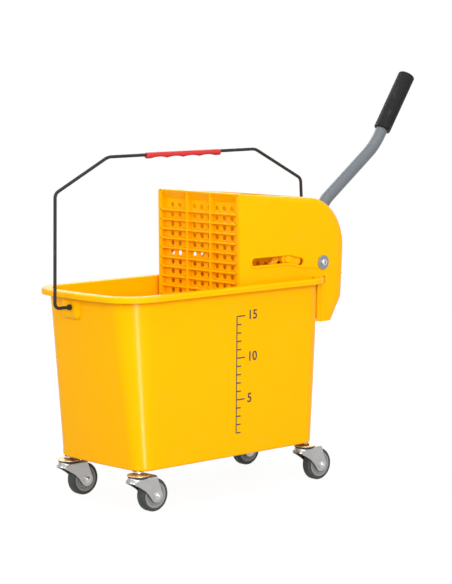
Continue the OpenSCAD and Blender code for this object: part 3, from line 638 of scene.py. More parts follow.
    def piece(
        self, name: str, finish: Finish, body: str, *nodes: str, crease: float = 38.0
    ) -> None:
        """Makes the shape a finished piece that rides on a body.

        Args:
            name: The piece's name.
            finish: Its finish.
            body: The CAD body that it moves with.
            nodes: CAD nodes that it stands for.
            crease: Angle in degrees past which an edge stays crisp.
        """
        obj = self._object()
        obj.name = name
        mesh = obj.data
        mesh.transform(Matrix.Scale(MILLIMETRE, 4))
        mesh.shade_smooth()
        mesh.set_sharp_from_angle(angle=math.radians(crease))
        even = obj.modifiers.new("even", "WEIGHTED_NORMAL")
        even.keep_sharp = True
        obj.data = plain_mesh(obj)
        obj.modifiers.clear()
        bpy.data.meshes.remove(mesh)
        obj.data.name = name
        obj.data.materials.clear()
        obj.data.materials.append(finish.material())
        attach(obj, body)
        if nodes:
            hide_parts(*nodes)
        self.bm.free()
        LOG.info("%s rides on %s with %d faces", name, body, len(obj.data.polygons))


def plain_mesh(obj: bpy.types.Object) -> bpy.types.Mesh:
    """Gives what an object's modifiers make as a plain mesh.

    Args:
        obj: The object.

    Returns:
        The mesh.
    """
    bpy.context.view_layer.update()
    depsgraph = bpy.context.evaluated_depsgraph_get()
    return bpy.data.meshes.new_from_object(obj.evaluated_get(depsgraph))


class Rule(Wiring):
    """A Geometry Nodes tree with named sizes, run once to give a plain mesh."""

    def __init__(self, name: str, finish: Finish) -> None:
        """Starts a tree that ends in realized instances with a finish.

        Args:
            name: The tree's name.
            finish: The finish.
        """
        super().__init__(bpy.data.node_groups.new(name, "GeometryNodeTree"))
        self.tree.interface.new_socket(
            name="Geometry", in_out="OUTPUT", socket_type="NodeSocketGeometry"
        )
        self.sizes: list[tuple[str, float]] = []
        self.finish = finish
        self.inlet = self.tree.nodes.new("NodeGroupInput")

    def size(self, name: str, value: float) -> bpy.types.NodeSocket:
        """Adds a named size and gives its socket; a whole number makes a count.

        Args:
            name: The size's name.
            value: Its value.

        Returns:
            The socket.
        """
        kind = "NodeSocketInt" if isinstance(value, int) else "NodeSocketFloat"
        socket = self.tree.interface.new_socket(name=name, in_out="INPUT", socket_type=kind)
        self.sizes.append((socket.identifier, value))
        return self.inlet.outputs[name]

    def run(self, result: bpy.types.NodeSocket) -> bpy.types.Mesh:
        """Ends the tree at a socket and gives what it makes as a plain mesh.

        Args:
            result: The socket.

        Returns:
            The mesh.
        """
        whole = self.node("RealizeInstances", Geometry=result)
        dressed = self.node("SetMaterial", Geometry=whole, Material=self.finish.material())
        self.tree.links.new(dressed, self.tree.nodes.new("NodeGroupOutput").inputs["Geometry"])
        obj = in_scene("rule", bpy.data.meshes.new("rule"))
        modifier = obj.modifiers.new("rule", "NODES")
        modifier.node_group = self.tree
        for identifier, value in self.sizes:
            modifier[identifier] = value
        made = plain_mesh(obj)
        obj.modifiers.remove(modifier)
        discard(obj)
        return made


@dataclass(frozen=True)
class PerforatedSheet:
    """A flat sheet with rows of round holes, lying in X and Y with its back at Z = 0."""

    width: float
    height: float
    thickness: float
    hole: float
    columns: int
    rows: int
    column_pitch: float
    row_pitch: float
    shift: float = 0.0

    def mesh(self, finish: Finish) -> bpy.types.Mesh:
        """Gives the sheet's mesh.

        Args:
            finish: Finish that the mesh carries.

        Returns:
            The mesh.
        """
        rule = Rule("perforated_sheet", finish)
        columns = rule.size("Columns", self.columns)
        rows = rule.size("Rows", self.rows)
        across = rule.math(
            "MULTIPLY", rule.math("SUBTRACT", columns, 1.0), rule.size("Column Pitch", self.column_pitch)
        )
        along = rule.math(
            "MULTIPLY", rule.math("SUBTRACT", rows, 1.0), rule.size("Row Pitch", self.row_pitch)
        )
        points = rule.node("MeshGrid", Size_X=across, Size_Y=along, Vertices_X=columns, Vertices_Y=rows)
        place = rule.node("ShaderNodeCombineXYZ", Y=rule.size("Shift", self.shift))
        points = rule.node("SetPosition", Geometry=points, Offset=place)
        radius = rule.math("DIVIDE", rule.size("Hole Diameter", self.hole), 2.0)
        circle = rule.node("CurvePrimitiveCircle", Resolution=20, Radius=radius)
        holes = rule.node(
            "RealizeInstances", Geometry=rule.node("InstanceOnPoints", Points=points, Instance=circle)
        )
        edge = rule.node(
            "CurvePrimitiveQuadrilateral",
            Width=rule.size("Width", self.width),
            Height=rule.size("Height", self.height),
        )
        sheet = rule.node("FillCurve", Curve=rule.node("JoinGeometry", Geometry=[edge, holes]))
        thick = rule.node(
            "ExtrudeMesh", Mesh=sheet, Offset_Scale=rule.size("Thickness", self.thickness), Individual=False
        )
        solid = rule.node("JoinGeometry", Geometry=[thick, rule.node("FlipFaces", Mesh=sheet)])
        return rule.run(rule.node("MergeByDistance", Geometry=solid, Distance=RULE_WELD))


@dataclass(frozen=True)
class RibRow:
    """Equal ribs with rounded edges along X, set out along Z."""

    count: int
    pitch: float
    length: float
    depth: float
    thickness: float
    edge: float

    def mesh(self, finish: Finish) -> bpy.types.Mesh:
        """Gives the ribs' mesh, the first at the origin and the rest below it.

        Args:
            finish: Finish that the mesh carries.

        Returns:
            The mesh.
        """
        rule = Rule("rib_row", finish)
        half = rule.math("DIVIDE", rule.size("Length", self.length), 2.0)
        line = rule.node(
            "CurvePrimitiveLine",
            Start=rule.node("ShaderNodeCombineXYZ", X=rule.math("MULTIPLY", half, -1.0)),
            End=rule.node("ShaderNodeCombineXYZ", X=half),
        )
        section = rule.node(
            "CurvePrimitiveQuadrilateral",
            Width=rule.size("Depth", self.depth),
            Height=rule.size("Thickness", self.thickness),
        )
        section = rule.node(
            "FilletCurve", mode="POLY", Curve=section, Count=2, Radius=rule.size("Edge", self.edge)
        )
        rib = rule.node("CurveToMesh", Curve=line, Profile_Curve=section, Fill_Caps=True)
        step = rule.math("MULTIPLY", rule.size("Pitch", self.pitch), -1.0)
        points = rule.node(
            "MeshLine",
            Count=rule.size("Count", self.count),
            Offset=rule.node("ShaderNodeCombineXYZ", Z=step),
        )
        return rule.run(rule.node("InstanceOnPoints", Points=points, Instance=rib))


@dataclass(frozen=True)
class BallRing:
    """A ring of equal balls about Z."""

    count: int
    radius: float
    ball: float

    def mesh(self, finish: Finish) -> bpy.types.Mesh:
        """Gives the balls' mesh, centred on the origin.

        Args:
            finish: Finish that the mesh carries.

        Returns:
            The mesh.
        """
        rule = Rule("ball_ring", finish)
        points = rule.node(
            "MeshCircle", Vertices=rule.size("Count", self.count), Radius=rule.size("Radius", self.radius)
        )
        half = rule.math("DIVIDE", rule.size("Ball Diameter", self.ball), 2.0)
        ball = rule.node("MeshIcoSphere", Radius=half, Subdivisions=3)
        return rule.run(rule.node("InstanceOnPoints", Points=points, Instance=ball))


@dataclass(frozen=True)
class KnurledSleeve:
    """The outer skin of a sleeve along Z, with crossed helical grooves."""

    radius: float
    length: float
    depth: float
    starts: int
    turns: float
    around: int
    along: int
    flank: float = 2.2

    def mesh(self, finish: Finish) -> bpy.types.Mesh:
        """Gives the skin's mesh, from Z = 0 up.

        Args:
            finish: Finish that the mesh carries.

        Returns:
            The mesh.
        """
        rule = Rule("knurled_sleeve", finish)
        grid = rule.node(
            "MeshGrid",
            Size_X=1.0,
            Size_Y=1.0,
            Vertices_X=rule.size("Around", self.around + 1),
            Vertices_Y=rule.size("Along", self.along + 1),
        )
        at = rule.tree.nodes.new("ShaderNodeSeparateXYZ")
        rule.tree.links.new(rule.node("InputPosition"), at.inputs[0])
        angle = rule.math("MULTIPLY", rule.math("ADD", at.outputs["X"], 0.5), 2 * math.pi)
        share = rule.math("ADD", at.outputs["Y"], 0.5)
        lead = rule.math("MULTIPLY", share, rule.size("Lead", 2 * math.pi * self.turns))
        pairs = rule.math("DIVIDE", rule.size("Starts", float(self.starts)), 2.0)
        waves = rule.math("MULTIPLY", angle, pairs)
        left = rule.math("ABSOLUTE", rule.math("SINE", rule.math("ADD", waves, lead)))
        right = rule.math("ABSOLUTE", rule.math("SINE", rule.math("SUBTRACT", waves, lead)))
        flank = rule.math("MULTIPLY", rule.math("MINIMUM", left, right), rule.size("Flank", self.flank))
        height = rule.math("MINIMUM", flank, 1.0)
        groove = rule.math(
            "MULTIPLY", rule.math("SUBTRACT", 1.0, height), rule.size("Groove Depth", self.depth)
        )
        radius = rule.math("SUBTRACT", rule.size("Radius", self.radius), groove)
        place = rule.node(
            "ShaderNodeCombineXYZ",
            X=rule.math("MULTIPLY", radius, rule.math("COSINE", angle)),
            Y=rule.math("MULTIPLY", radius, rule.math("SINE", angle)),
            Z=rule.math("MULTIPLY", share, rule.size("Length", self.length)),
        )
        skin = rule.node("SetPosition", Geometry=grid, Position=place)
        return rule.run(rule.node("MergeByDistance", Geometry=skin, Distance=RULE_WELD))


@dataclass
class Tub:
    """The moulded tub with its rolled rim, its ears and its caster sockets."""

    rim_x: float
    rim_y: float
    base_z: float
    rim_z: float
    base_l: float = 364.0
    base_w: float = 200.0
    wall: float = 3.0
    floor: float = 4.0
    top_corner: float = 46.0
    base_corner: float = 26.0
    front_bow: float = 900.0
    rear_bow: float = 260.0
    base_bow: float = 1200.0
    rim_out: float = 13.0
    rim_skirt: float = 9.2
    rim_t: float = 3.0
    rim_round: float = 3.4
    base_round: float = 3.5
    fillet: float = 2.0
    skirt_round: float = 1.5
    wall_rows: int = 8
    ear_y: float = 23.0
    ear_w: float = 42.0
    ear_h: float = 42.0
    ear_out: float = 4.0
    ear_in: float = 20.0
    ear_round: float = 9.0
    socket_r: float = 8.5
    socket_h: float = 22.0
    socket_sink: float = 1.0
    socket_round: float = 2.0
    stem_x: float = 170.0
    stem_y: float = 83.0

    @classmethod
    def from_frame(cls) -> "Tub":
        """Gives the tub with its outer sizes read from the frame."""
        low, high = cad_box("bucket_tub")
        return cls(rim_x=high.x, rim_y=high.y, base_z=low.z, rim_z=high.z)

    @staticmethod
    def corner_x(half_l: float, half_w: float, corner: float, bow: float) -> float:
        """Gives where the centre of a round corner lies beside a bowed end."""
        return half_l - bow + math.sqrt((bow - corner) ** 2 - (half_w - corner) ** 2)

    def outline(self, half_l: float, half_w: float, corner: float, front: float, rear: float) -> Line:
        """Gives bowed ends joined to straight sides by round corners.

        Args:
            half_l: Half of the length.
            half_w: Half of the width.
            corner: Radius of the corners.
            front: Radius of the front end's bow.
            rear: Radius of the rear end's bow.

        Returns:
            The outline.
        """
        cy = half_w - corner
        rear_cx = self.corner_x(half_l, half_w, corner, rear)
        front_cx = self.corner_x(half_l, half_w, corner, front)
        a = math.degrees(math.atan2(cy, rear_cx - half_l + rear))
        b = math.degrees(math.atan2(cy, front_cx - half_l + front))
        bow_steps, corner_steps = 20, 14
        return (
            arc((half_l - rear, 0), rear, -a, a, bow_steps)
            + arc((rear_cx, cy), corner, a, 90, corner_steps)
            + arc((-front_cx, cy), corner, 90, 180 - b, corner_steps)
            + arc((front - half_l, 0), front, 180 - b, 180 + b, bow_steps)
            + arc((-front_cx, -cy), corner, 180 + b, 270, corner_steps)
            + arc((rear_cx, -cy), corner, 270, 360 - a, corner_steps)
        )

    def level(self, z: float, inset: float = 0.0) -> tuple[float, float, float, float, float]:
        """Gives the wall's half length, half width, corner and bows at a height.

        Args:
            z: The height.
            inset: How far the outline is drawn in.

        Returns:
            The sizes in that order.
        """
        s = (z - self.base_z) / (self.rim_z - self.base_z)
        top = (
            self.rim_x - self.rim_out, self.rim_y - self.rim_out,
            self.top_corner, self.front_bow, self.rear_bow,
        )
        base = (self.base_l / 2, self.base_w / 2, self.base_corner, self.base_bow, self.base_bow)
        return tuple(b + s * (t - b) - inset for t, b in zip(top, base))

    def ring(self, z: float, inset: float, size_z: float | None = None) -> Line:
        """Gives the wall's outline at a height, drawn in by an inset, as points in space."""
        flat = self.outline(*self.level(z if size_z is None else size_z, inset))
        return [Vector((p.x, p.y, z)) for p in flat]

    def end_x(self, y: float, z: float, inset: float) -> float:
        """Gives where the rear corner crosses a distance from the middle plane.

        Args:
            y: The distance.
            z: The height.
            inset: How far the outline is drawn in.

        Returns:
            The place along X.
        """
        half_l, half_w, corner, _, rear = self.level(z, inset)
        reach = math.sqrt(corner ** 2 - (y - half_w + corner) ** 2)
        return self.corner_x(half_l, half_w, corner, rear) + reach

    def section(self) -> list[tuple[float, float]]:
        """Gives the rim's section as points of reach past the wall and height.

        Returns:
            The points.
        """
        out, t, z, fillet = self.rim_out, self.rim_t, self.rim_z, self.fillet
        foot = z - self.rim_skirt
        top, inner = self.rim_round, self.skirt_round
        line = [Vector((0, z - t - fillet))]
        line += arc((fillet, z - t - fillet), fillet, 180, 90, 4)
        line += arc((out - t - inner, z - t - inner), inner, 90, 0, 4)
        line += arc((out - t / 2, foot + t / 2), t / 2, 180, 360, 8)
        line += arc((out - top, z - top), top, 0, 90, 8)
        line += arc((fillet - self.wall, z - fillet), fillet, 90, 180, 5)
        return [(p.x, p.y) for p in line]

    def shell(self) -> Shape:
        """Gives the walls, the floor and the rim as one closed skin.

        Returns:
            The skin.
        """
        r, base, rows = self.base_round, self.base_z, self.wall_rows
        rings = []
        for p in [Vector((r, base))] + arc((r, base + r), r, 270, 180, 6):
            rings.append(self.ring(p.y, p.x))
        wall_top = self.rim_z - self.rim_t - self.fillet
        for i in range(1, rows):
            rings.append(self.ring(base + r + (wall_top - base - r) * i / rows, 0.0))
        for reach, z in self.section():
            rings.append(self.ring(z, -reach, self.rim_z if reach > 0 else None))
        floor_z = base + self.floor
        inner_top = self.rim_z - self.fillet
        for i in range(1, rows):
            rings.append(self.ring(inner_top + (floor_z + r - inner_top) * i / rows, self.wall))
        for p in arc((self.wall + r, floor_z + r), r, 180, 270, 6):
            rings.append(self.ring(p.y, p.x))
        return Shape().loft(rings)

    def build(self) -> None:
        """Makes the tub's pieces."""
        tub = self.shell()
        ear_x = self.rim_x - self.rim_out + self.ear_out
        for side in (-1, 1):
            low = (ear_x - self.ear_in, self.ear_y - self.ear_w / 2, self.rim_z - self.ear_h)
            high = (ear_x, self.ear_y + self.ear_w / 2, self.rim_z - self.rim_t / 2)
            ear = Shape().box(low, high, self.ear_round, 8)
            tub.join(ear.moved(Matrix.Diagonal((side, 1, 1, 1))))
        low_z = self.base_z + self.floor - self.socket_sink
        top_z = self.base_z + self.floor + self.socket_h
        socket = rounded(oblong(0, low_z, self.socket_r, top_z), (0, 0, self.socket_round, 0), 4)
        for x in (-self.stem_x, self.stem_x):
            for y in (-self.stem_y, self.stem_y):
                tub.lathe(socket, Matrix.Translation((x, y, 0)), 40, closed=False)
        tub.piece("tub_shell", YELLOW, "trolley", "bucket_tub")


@dataclass
class Casing:
    """The wringer's casing: two cheeks and a rounded back that hooks over the tub's rear end."""

    tub: Tub
    front_x: float
    back_x: float
    cheek: float
    low_z: float
    top_z: float
    pivot: Vector
    wall: float = 3.0
    fall: float = 19.0
    corner: float = 78.0
    edge: float = 12.0
    edge_depth: float = 8.0
    back_edge: float = 2.0
    front_edge: float = 0.25
    bulge: float = 6.2
    overhang_drop: float = 71.5
    heel_h: float = 37.0
    heel_run: float = 22.0
    heel_round: float = 18.0
    back_lean: float = 9.0
    shell_start: float = 146.0
    straddle: float = 1.5
    set_back: float = 5.0
    hook_gap: float = 0.7
    hook_inset: float = 0.5
    frame_w: float = 7.0
    slot_rise: float = 32.0
    slot_front: float = 31.0
    slot_run: float = 73.0
    slot_r: float = 5.5
    notch_run: float = 25.0
    notch_fall: float = 6.0
    lip_w: float = 4.0
    lip_h: float = 1.5
    washer_seat: float = 12.5
    lever_slot: float = 14.9
    lever_low: float = 2.0
    lever_top: float = 62.0
    lever_in: float = 16.0
    lever_rounds: tuple[float, ...] = (4.0, 4.0, 12.0, 12.0)
    bail_y: float = 18.0
    bail_notch: float = 5.5
    bail_z: float = 301.0
    hook_back: float = 4.0
    hook_low: float = 1.0
    hook_top: float = 0.5
    mouth_in: float = 1.0
    mouth_drop: float = 60.0
    mouth_round: float = 14.0
    clear: float = 9.0
    below: float = 20.0
    above: float = 30.0
    curve_steps: int = 14
    soft: float = 0.9
    saddle_edge: float = 0.6
    seat_h: float = 0.8
    seat_slope: float = 0.7
    slot_flare: tuple[tuple[float, float], ...] = ((2.0, 2.2), (0.0, 0.9), (-1.0, 0.15), (-2.0, 0.0))
    lip_flare: tuple[tuple[float, float], ...] = ((-1.0, 0.0), (0.6, 0.0), (1.2, 0.35))
    lip_round: float = 1.1

    @classmethod
    def from_frame(cls, tub: Tub) -> "Casing":
        """Gives the casing with its outer sizes read from the frame.

        Args:
            tub: The tub it hooks over.

        Returns:
            The casing.
        """
        low, high = cad_box("wringer_casing")
        hinge = next(j for j in frame["joints"] if j["name"] == "lever_press")
        x, _, z = hinge["pos_m"]
        pivot = Vector((x, z)) / MILLIMETRE
        return cls(tub, low.x, high.x + cls.bulge, high.y - cls.lip_h, low.z, high.z, pivot)

    def side(self, drawn: float) -> Line:
        """Gives the side view, with its top and its back drawn in at the rounded edges.

        Args:
            drawn: How far it is drawn in.

        Returns:
            The outline in X and Z.
        """
        tub, gap = self.tub, self.straddle
        rim = tub.rim_z
        inside = tub.end_x(self.cheek, self.low_z, tub.wall) - gap
        outside = tub.end_x(self.cheek - self.wall, rim, 0) + gap + self.set_back
        rim_cut = tub.end_x(self.cheek - self.wall, rim, -tub.rim_out) + self.hook_gap
        skirt = rim - tub.rim_skirt - gap
        foot = rim - self.overhang_drop
        heel = self.back_x - self.back_lean
        back = self.back_edge * drawn
        points = [
            (self.front_x, self.low_z), (inside, self.low_z), (inside, rim), (rim_cut, rim),
            (rim_cut, skirt), (outside, skirt), (outside, foot), (heel - self.heel_run - back, foot),
            (heel - back, foot + self.heel_h), (self.back_x - back, self.top_z - self.fall - drawn),
            (self.front_x, self.top_z - self.front_edge * drawn),
        ]
        radii = [0, 0, 0, 0, 0, 0, 0, 0, self.heel_round, self.corner - drawn, 0]
        return rounded(points, radii, self.curve_steps)

    def hollow(self, drawn: float) -> Line:
        """Gives the side view of the room inside the walls, drawn in at the rounded edges.

        Args:
            drawn: How far it is drawn in.

        Returns:
            The outline in X and Z.
        """
        foot = self.tub.rim_z - self.overhang_drop
        heel = self.back_x - self.back_lean
        front = self.front_x + self.wall
        under = self.low_z - self.below
        back = self.wall + self.back_edge * drawn
        top = self.top_z - self.wall
        points = [
            (front, under), (heel - self.heel_run - back, under), (heel - self.heel_run - back, foot),
            (heel - back, foot + self.heel_h), (self.back_x - back, top - self.fall - drawn),
            (front, top - self.front_edge * drawn),
        ]
        radii = (0, 0, 0, self.heel_round - self.wall, self.corner - self.wall - drawn, 0)
        return rounded(points, radii, self.curve_steps)

    @staticmethod
    def across(half: float, depth: float, edge: float) -> list[tuple[float, float]]:
        """Gives places across a body with rounded edges, each with how far it is drawn in there.

        Args:
            half: Half of the body's width.
            depth: Width of the rounding.
            edge: Height of the rounding.

        Returns:
            Pairs of a place along Y and a distance.
        """
        steps = 8
        turn = [polar(90 * i / steps) for i in range(steps + 1)]
        one = [(half - depth + depth * p.y, edge - edge * p.x) for p in turn]
        return [(-y, d) for y, d in one[::-1]] + one

    def body(self) -> Shape:
        """Gives the walls with their rounded edges and open front, top and foot.

        Returns:
            The walls.
        """
        wall = self.wall
        outer = [stood(self.side(d), y) for y, d in self.across(self.cheek, self.edge_depth, self.edge)]
        inner = [
            stood(self.hollow(d), y)
            for y, d in self.across(self.cheek - wall, self.edge_depth - wall, self.edge - wall)
        ]
        start, end = self.front_x - self.clear, self.front_x + self.shell_start
        low, top = self.low_z - self.below, self.top_z + self.above
        mouth_y = self.cheek - self.edge_depth - self.mouth_in
        mouth = rounded(oblong(start, -mouth_y, end, mouth_y), (0, self.mouth_round, self.mouth_round, 0), 6)
        mouth_rings = [[Vector((p.x, p.y, z)) for p in mouth] for z in (self.top_z - self.mouth_drop, top)]
        window_y = self.cheek - self.frame_w
        window = Shape().box((start, -window_y, low), (self.front_x + self.clear, window_y, top))
        return Shape().loft(outer).carve(
            Shape().loft(inner), Shape().loft(mouth_rings), window, *self.cuts()
        )

    def slot_path(self) -> Line:
        """Gives the middle line of a cheek's slot, from its front end to its loading notch.

        Returns:
            The line in X and Z.
        """
        start = Vector((self.front_x + self.slot_front, self.tub.rim_z + self.slot_rise))
        end = start + Vector((self.slot_run, 0))
        return [start, end, end + Vector((self.notch_run, -self.notch_fall))]

    def slot_cut(self) -> Shape:
        """Gives the cutter of both slots, flared at the lips.

        Returns:
            The cutter.
        """
        reach = self.cheek + self.lip_h
        places = [(reach + past, d) for past, d in self.slot_flare]
        stations = [(-y, d) for y, d in places] + places[::-1]
        path = self.slot_path()
        return Shape().loft([stood(ribbon(path, self.slot_r + d), y) for y, d in stations])

    def cuts(self) -> list[Shape]:
        """Gives the cutters of the slots, the lever's slot and the bail's notch.

        Returns:
            The cutters.
        """
        low = self.tub.rim_z + self.wall + self.lever_low
        high = self.pivot.y + self.lever_top
        half, past = self.lever_slot, self.back_x + self.clear
        lever = rounded(oblong(-half, low, half, high), self.lever_rounds, 6)
        lever_rings = [[Vector((x, p.x, p.y)) for p in lever] for x in (self.pivot.x + self.lever_in, past)]
        notch = Shape().box(
            (self.tub.rim_x, self.bail_y - self.bail_notch, self.low_z),
            (past, self.bail_y + self.bail_notch, self.bail_z + self.bail_notch),
        )
        return [self.slot_cut(), Shape().loft(lever_rings), notch]

    def lip(self) -> Shape:
        """Gives the raised lip round the near slot, running on to the pivot.

        Returns:
            The lip.
        """
        path = self.slot_path() + [self.pivot]
        face, seat = self.cheek, self.washer_seat
        flare = (*self.lip_flare, (self.lip_h, self.lip_round))
        rings = [stood(ribbon(path, self.slot_r + self.lip_w - d), -face - past) for past, d in flare]
        top = -face - self.lip_h
        boss = [(0, -face), (seat, -face), (seat, -face - self.seat_h)]
        boss += [(seat - self.seat_slope, top), (0, top)]
        place = Matrix.Translation((self.pivot.x, 0, self.pivot.y)) @ turned(-90, "X")
        lip = Shape().loft(rings).carve(self.slot_cut())
        return lip.join(Shape().lathe(boss, place, 48, closed=False))

    def hook(self, side: int) -> Shape:
        """Gives the rib behind a cheek's lower front edge, which follows the tub's leaning corner.

        Args:
            side: -1 for the near cheek, 1 for the far one.

        Returns:
            The rib.
        """
        tub = self.tub
        low = tub.rim_z - self.overhang_drop + self.hook_low
        high = tub.rim_z - tub.rim_skirt - self.straddle - self.hook_top
        inner, outer = self.cheek - self.wall, self.cheek - self.hook_inset
        back = tub.end_x(inner, tub.rim_z, 0) + self.straddle + self.set_back + self.hook_back
        line = [Vector((tub.end_x(inner, z, 0) + self.hook_gap, z)) for z in (low, high)]
        line += [Vector((back, high)), Vector((back, low))]
        return Shape().slab(line, *one_side(side, inner, outer))

    def build(self) -> None:
        """Makes the casing's piece."""
        casing = self.body().soften(self.soft, 45.0, 2)
        saddle = Shape().box(
            (self.tub.end_x(self.cheek, self.low_z, self.tub.wall), -self.cheek + self.wall, self.tub.rim_z),
            (self.back_x - self.back_lean, self.cheek - self.wall, self.tub.rim_z + self.wall),
            self.saddle_edge, 2,
        )
        far = self.lip().moved(Matrix.Diagonal((1, -1, 1, 1)))
        casing.join(self.lip(), far, saddle, self.hook(-1), self.hook(1))
        casing.piece("wringer_body", YELLOW, "trolley", "wringer_casing")


@dataclass
class Grid:
    """The ribbed and perforated front wall and floor of the wringer."""

    casing: Casing
    floor_end: float
    depth: float = 8.0
    floor: float = 3.0
    rib: float = 3.4
    rib_edge: float = 1.0
    rib_lap: float = 1.0
    rib_out: float = 0.4
    rib_drop: float = 0.6
    side_in: float = 0.6
    side_gap: float = 0.1
    side_drop: float = 2.0
    side_edge: float = 0.5
    soft: float = 0.6
    rib_pitch: float = 14.85
    top_cell: float = 31.5
    top_edge: float = 14.0
    top_over: float = 0.2
    top_face: float = 1.8
    top_back: float = 0.3
    middle: float = 27.0
    skin: float = 1.2
    hole: float = 8.0
    hole_pitch: float = 17.3
    holes: int = 9

    @classmethod
    def from_frame(cls, casing: Casing) -> "Grid":
        """Gives the grid with its floor's end read from the frame."""
        return cls(casing, cad_box("drain_floor")[1].x)

    def front(self) -> None:
        """Makes the front wall: a perforated sheet, its ribs and its sloped top edge."""
        case = self.casing
        x, half = case.front_x, case.cheek - case.wall
        low, top = case.low_z, case.top_z
        height = top - low
        first_rib = top - self.top_cell
        ribs = int((first_rib - low - self.rib_pitch) / self.rib_pitch) + 1
        row_top = first_rib + self.rib_pitch / 2
        middle = (low + top) / 2
        rows = ribs + 1
        sheet = PerforatedSheet(
            2 * half, height, self.skin, self.hole, self.holes, rows, self.hole_pitch, self.rib_pitch,
            shift=row_top - (rows - 1) * self.rib_pitch / 2 - middle,
        )
        grid = Shape().add(sheet.mesh(YELLOW), upright(x + self.depth + self.skin, middle))
        deep, thick = self.depth + self.rib_lap, self.rib / 2
        row = RibRow(ribs, self.rib_pitch, 2 * half - 2, deep, self.rib, self.rib_edge)
        grid.add(row.mesh(YELLOW), Matrix.Translation((x + deep / 2, 0, first_rib)) @ turned(90, "Z"))
        for y in (-self.middle, self.middle):
            corner = (x + deep, y + thick, top - self.rib_drop)
            grid.box((x - self.rib_out, y - thick, low), corner, self.soft, 2)
        for side in (-1, 1):
            inside, outside = one_side(side, half - self.rib, half - self.side_gap)
            corner = (x + deep, outside, top - self.side_drop)
            grid.box((x + self.side_in, inside, low), corner, self.side_edge, 2)
        grid.box((x, -half, low), (x + deep, half, low + self.rib), self.soft, 2)
        back = x + self.depth + self.floor + self.top_back
        foot, over = top - self.top_edge, top + self.top_over
        edge = rounded(
            [(x, top - self.top_face), (x, over), (back, over), (back, foot), (x + self.depth, foot)],
            (0.7, 0.9, 1.5, 0, 0), 5,
        )
        grid.slab(edge, -half - self.rib_lap, half + self.rib_lap)
        grid.piece("front_wall", YELLOW, "trolley", "front_grid")

    def base(self) -> None:
        """Makes the perforated floor."""
        case = self.casing
        start = case.front_x + self.depth + self.skin
        length = self.floor_end - start
        half = case.cheek - case.wall
        rows = int(length / self.hole_pitch) - 1
        sheet = PerforatedSheet(
            2 * half, length, case.wall, self.hole, self.holes, rows, self.hole_pitch, self.hole_pitch
        )
        place = Matrix.Translation((start + length / 2, 0, case.low_z)) @ turned(90, "Z")
        Shape().add(sheet.mesh(YELLOW), place).piece("drain_tray", YELLOW, "trolley", "drain_floor")

    def build(self) -> None:
        """Makes the grid's pieces."""
        self.front()
        self.base()


@dataclass
class Press:
    """The perforated press plate with its guide rod and shoes."""

    grid: Grid
    low: Vector
    high: Vector
    rod_z: float
    rod_x: float
    plate_t: float = 4.0
    rib: float = 2.4
    boss_r: float = 9.0
    boss_w: float = 16.0
    tail_r: float = 6.5
    tail_w: float = 5.0
    tail: tuple[tuple[float, float], ...] = ((0.0, 0.0), (14.0, -1.5), (22.0, -4.0))
    lap: float = 1.0
    edge: float = 0.6
    boss_flat: float = 0.1
    boss_gap: float = 0.05
    shoe_gap: float = 0.5

    @classmethod
    def from_frame(cls, grid: Grid) -> "Press":
        """Gives the press with its sizes read from the frame.

        Args:
            grid: The grid it presses against.

        Returns:
            The press.
        """
        low, high = cad_box("press_plate")
        rod_low, rod_high = cad_box("guide_rod")
        rod = (rod_low + rod_high) / 2
        return cls(grid, low, high, rod.z, rod.x)

    def build(self) -> None:
        """Makes the press's pieces."""
        low, high, grid = self.low, self.high, self.grid
        height = high.z - low.z
        rows = int(height / grid.rib_pitch) - 1
        sheet = PerforatedSheet(
            high.y - low.y, height, self.plate_t, grid.hole, grid.holes - 2, rows,
            grid.hole_pitch, grid.rib_pitch,
        )
        plate = Shape().add(sheet.mesh(YELLOW), upright(low.x + self.plate_t, (low.z + high.z) / 2))
        front, back = low.x + self.lap, self.rod_x + self.boss_r
        foot, top = self.rod_z - self.boss_r, self.rod_z + self.boss_r
        turn = self.boss_r - self.boss_flat
        block = rounded(oblong(front, foot, back, top), (0, turn, turn, 0), 8)
        for side in (-1, 1):
            inside, outside = one_side(side, high.y - self.rib, high.y)
            plate.box((front, inside, low.z), (self.rod_x, outside, high.z), self.edge, 2)
            inside, outside = one_side(side, high.y - self.boss_w, high.y)
            plate.slab(block, inside, outside - self.boss_gap)
        plate.piece("press_board", YELLOW, "press", "press_plate")
        Shape.cad_copy("guide_rod").soften(0.6).piece("press_rod", STEEL, "press", "guide_rod")
        shoes = Shape.cad_copy("guide_shoes").soften(0.8, 40.0, 3)
        tail = [Vector((self.rod_x + x, self.rod_z + z)) for x, z in self.tail]
        inside = grid.casing.cheek - grid.casing.wall - self.shoe_gap
        for side in (-1, 1):
            shoes.slab(ribbon(tail, self.tail_r), *one_side(side, inside - self.tail_w, inside))
        shoes.piece("press_shoes", YELLOW, "press", "guide_shoes")


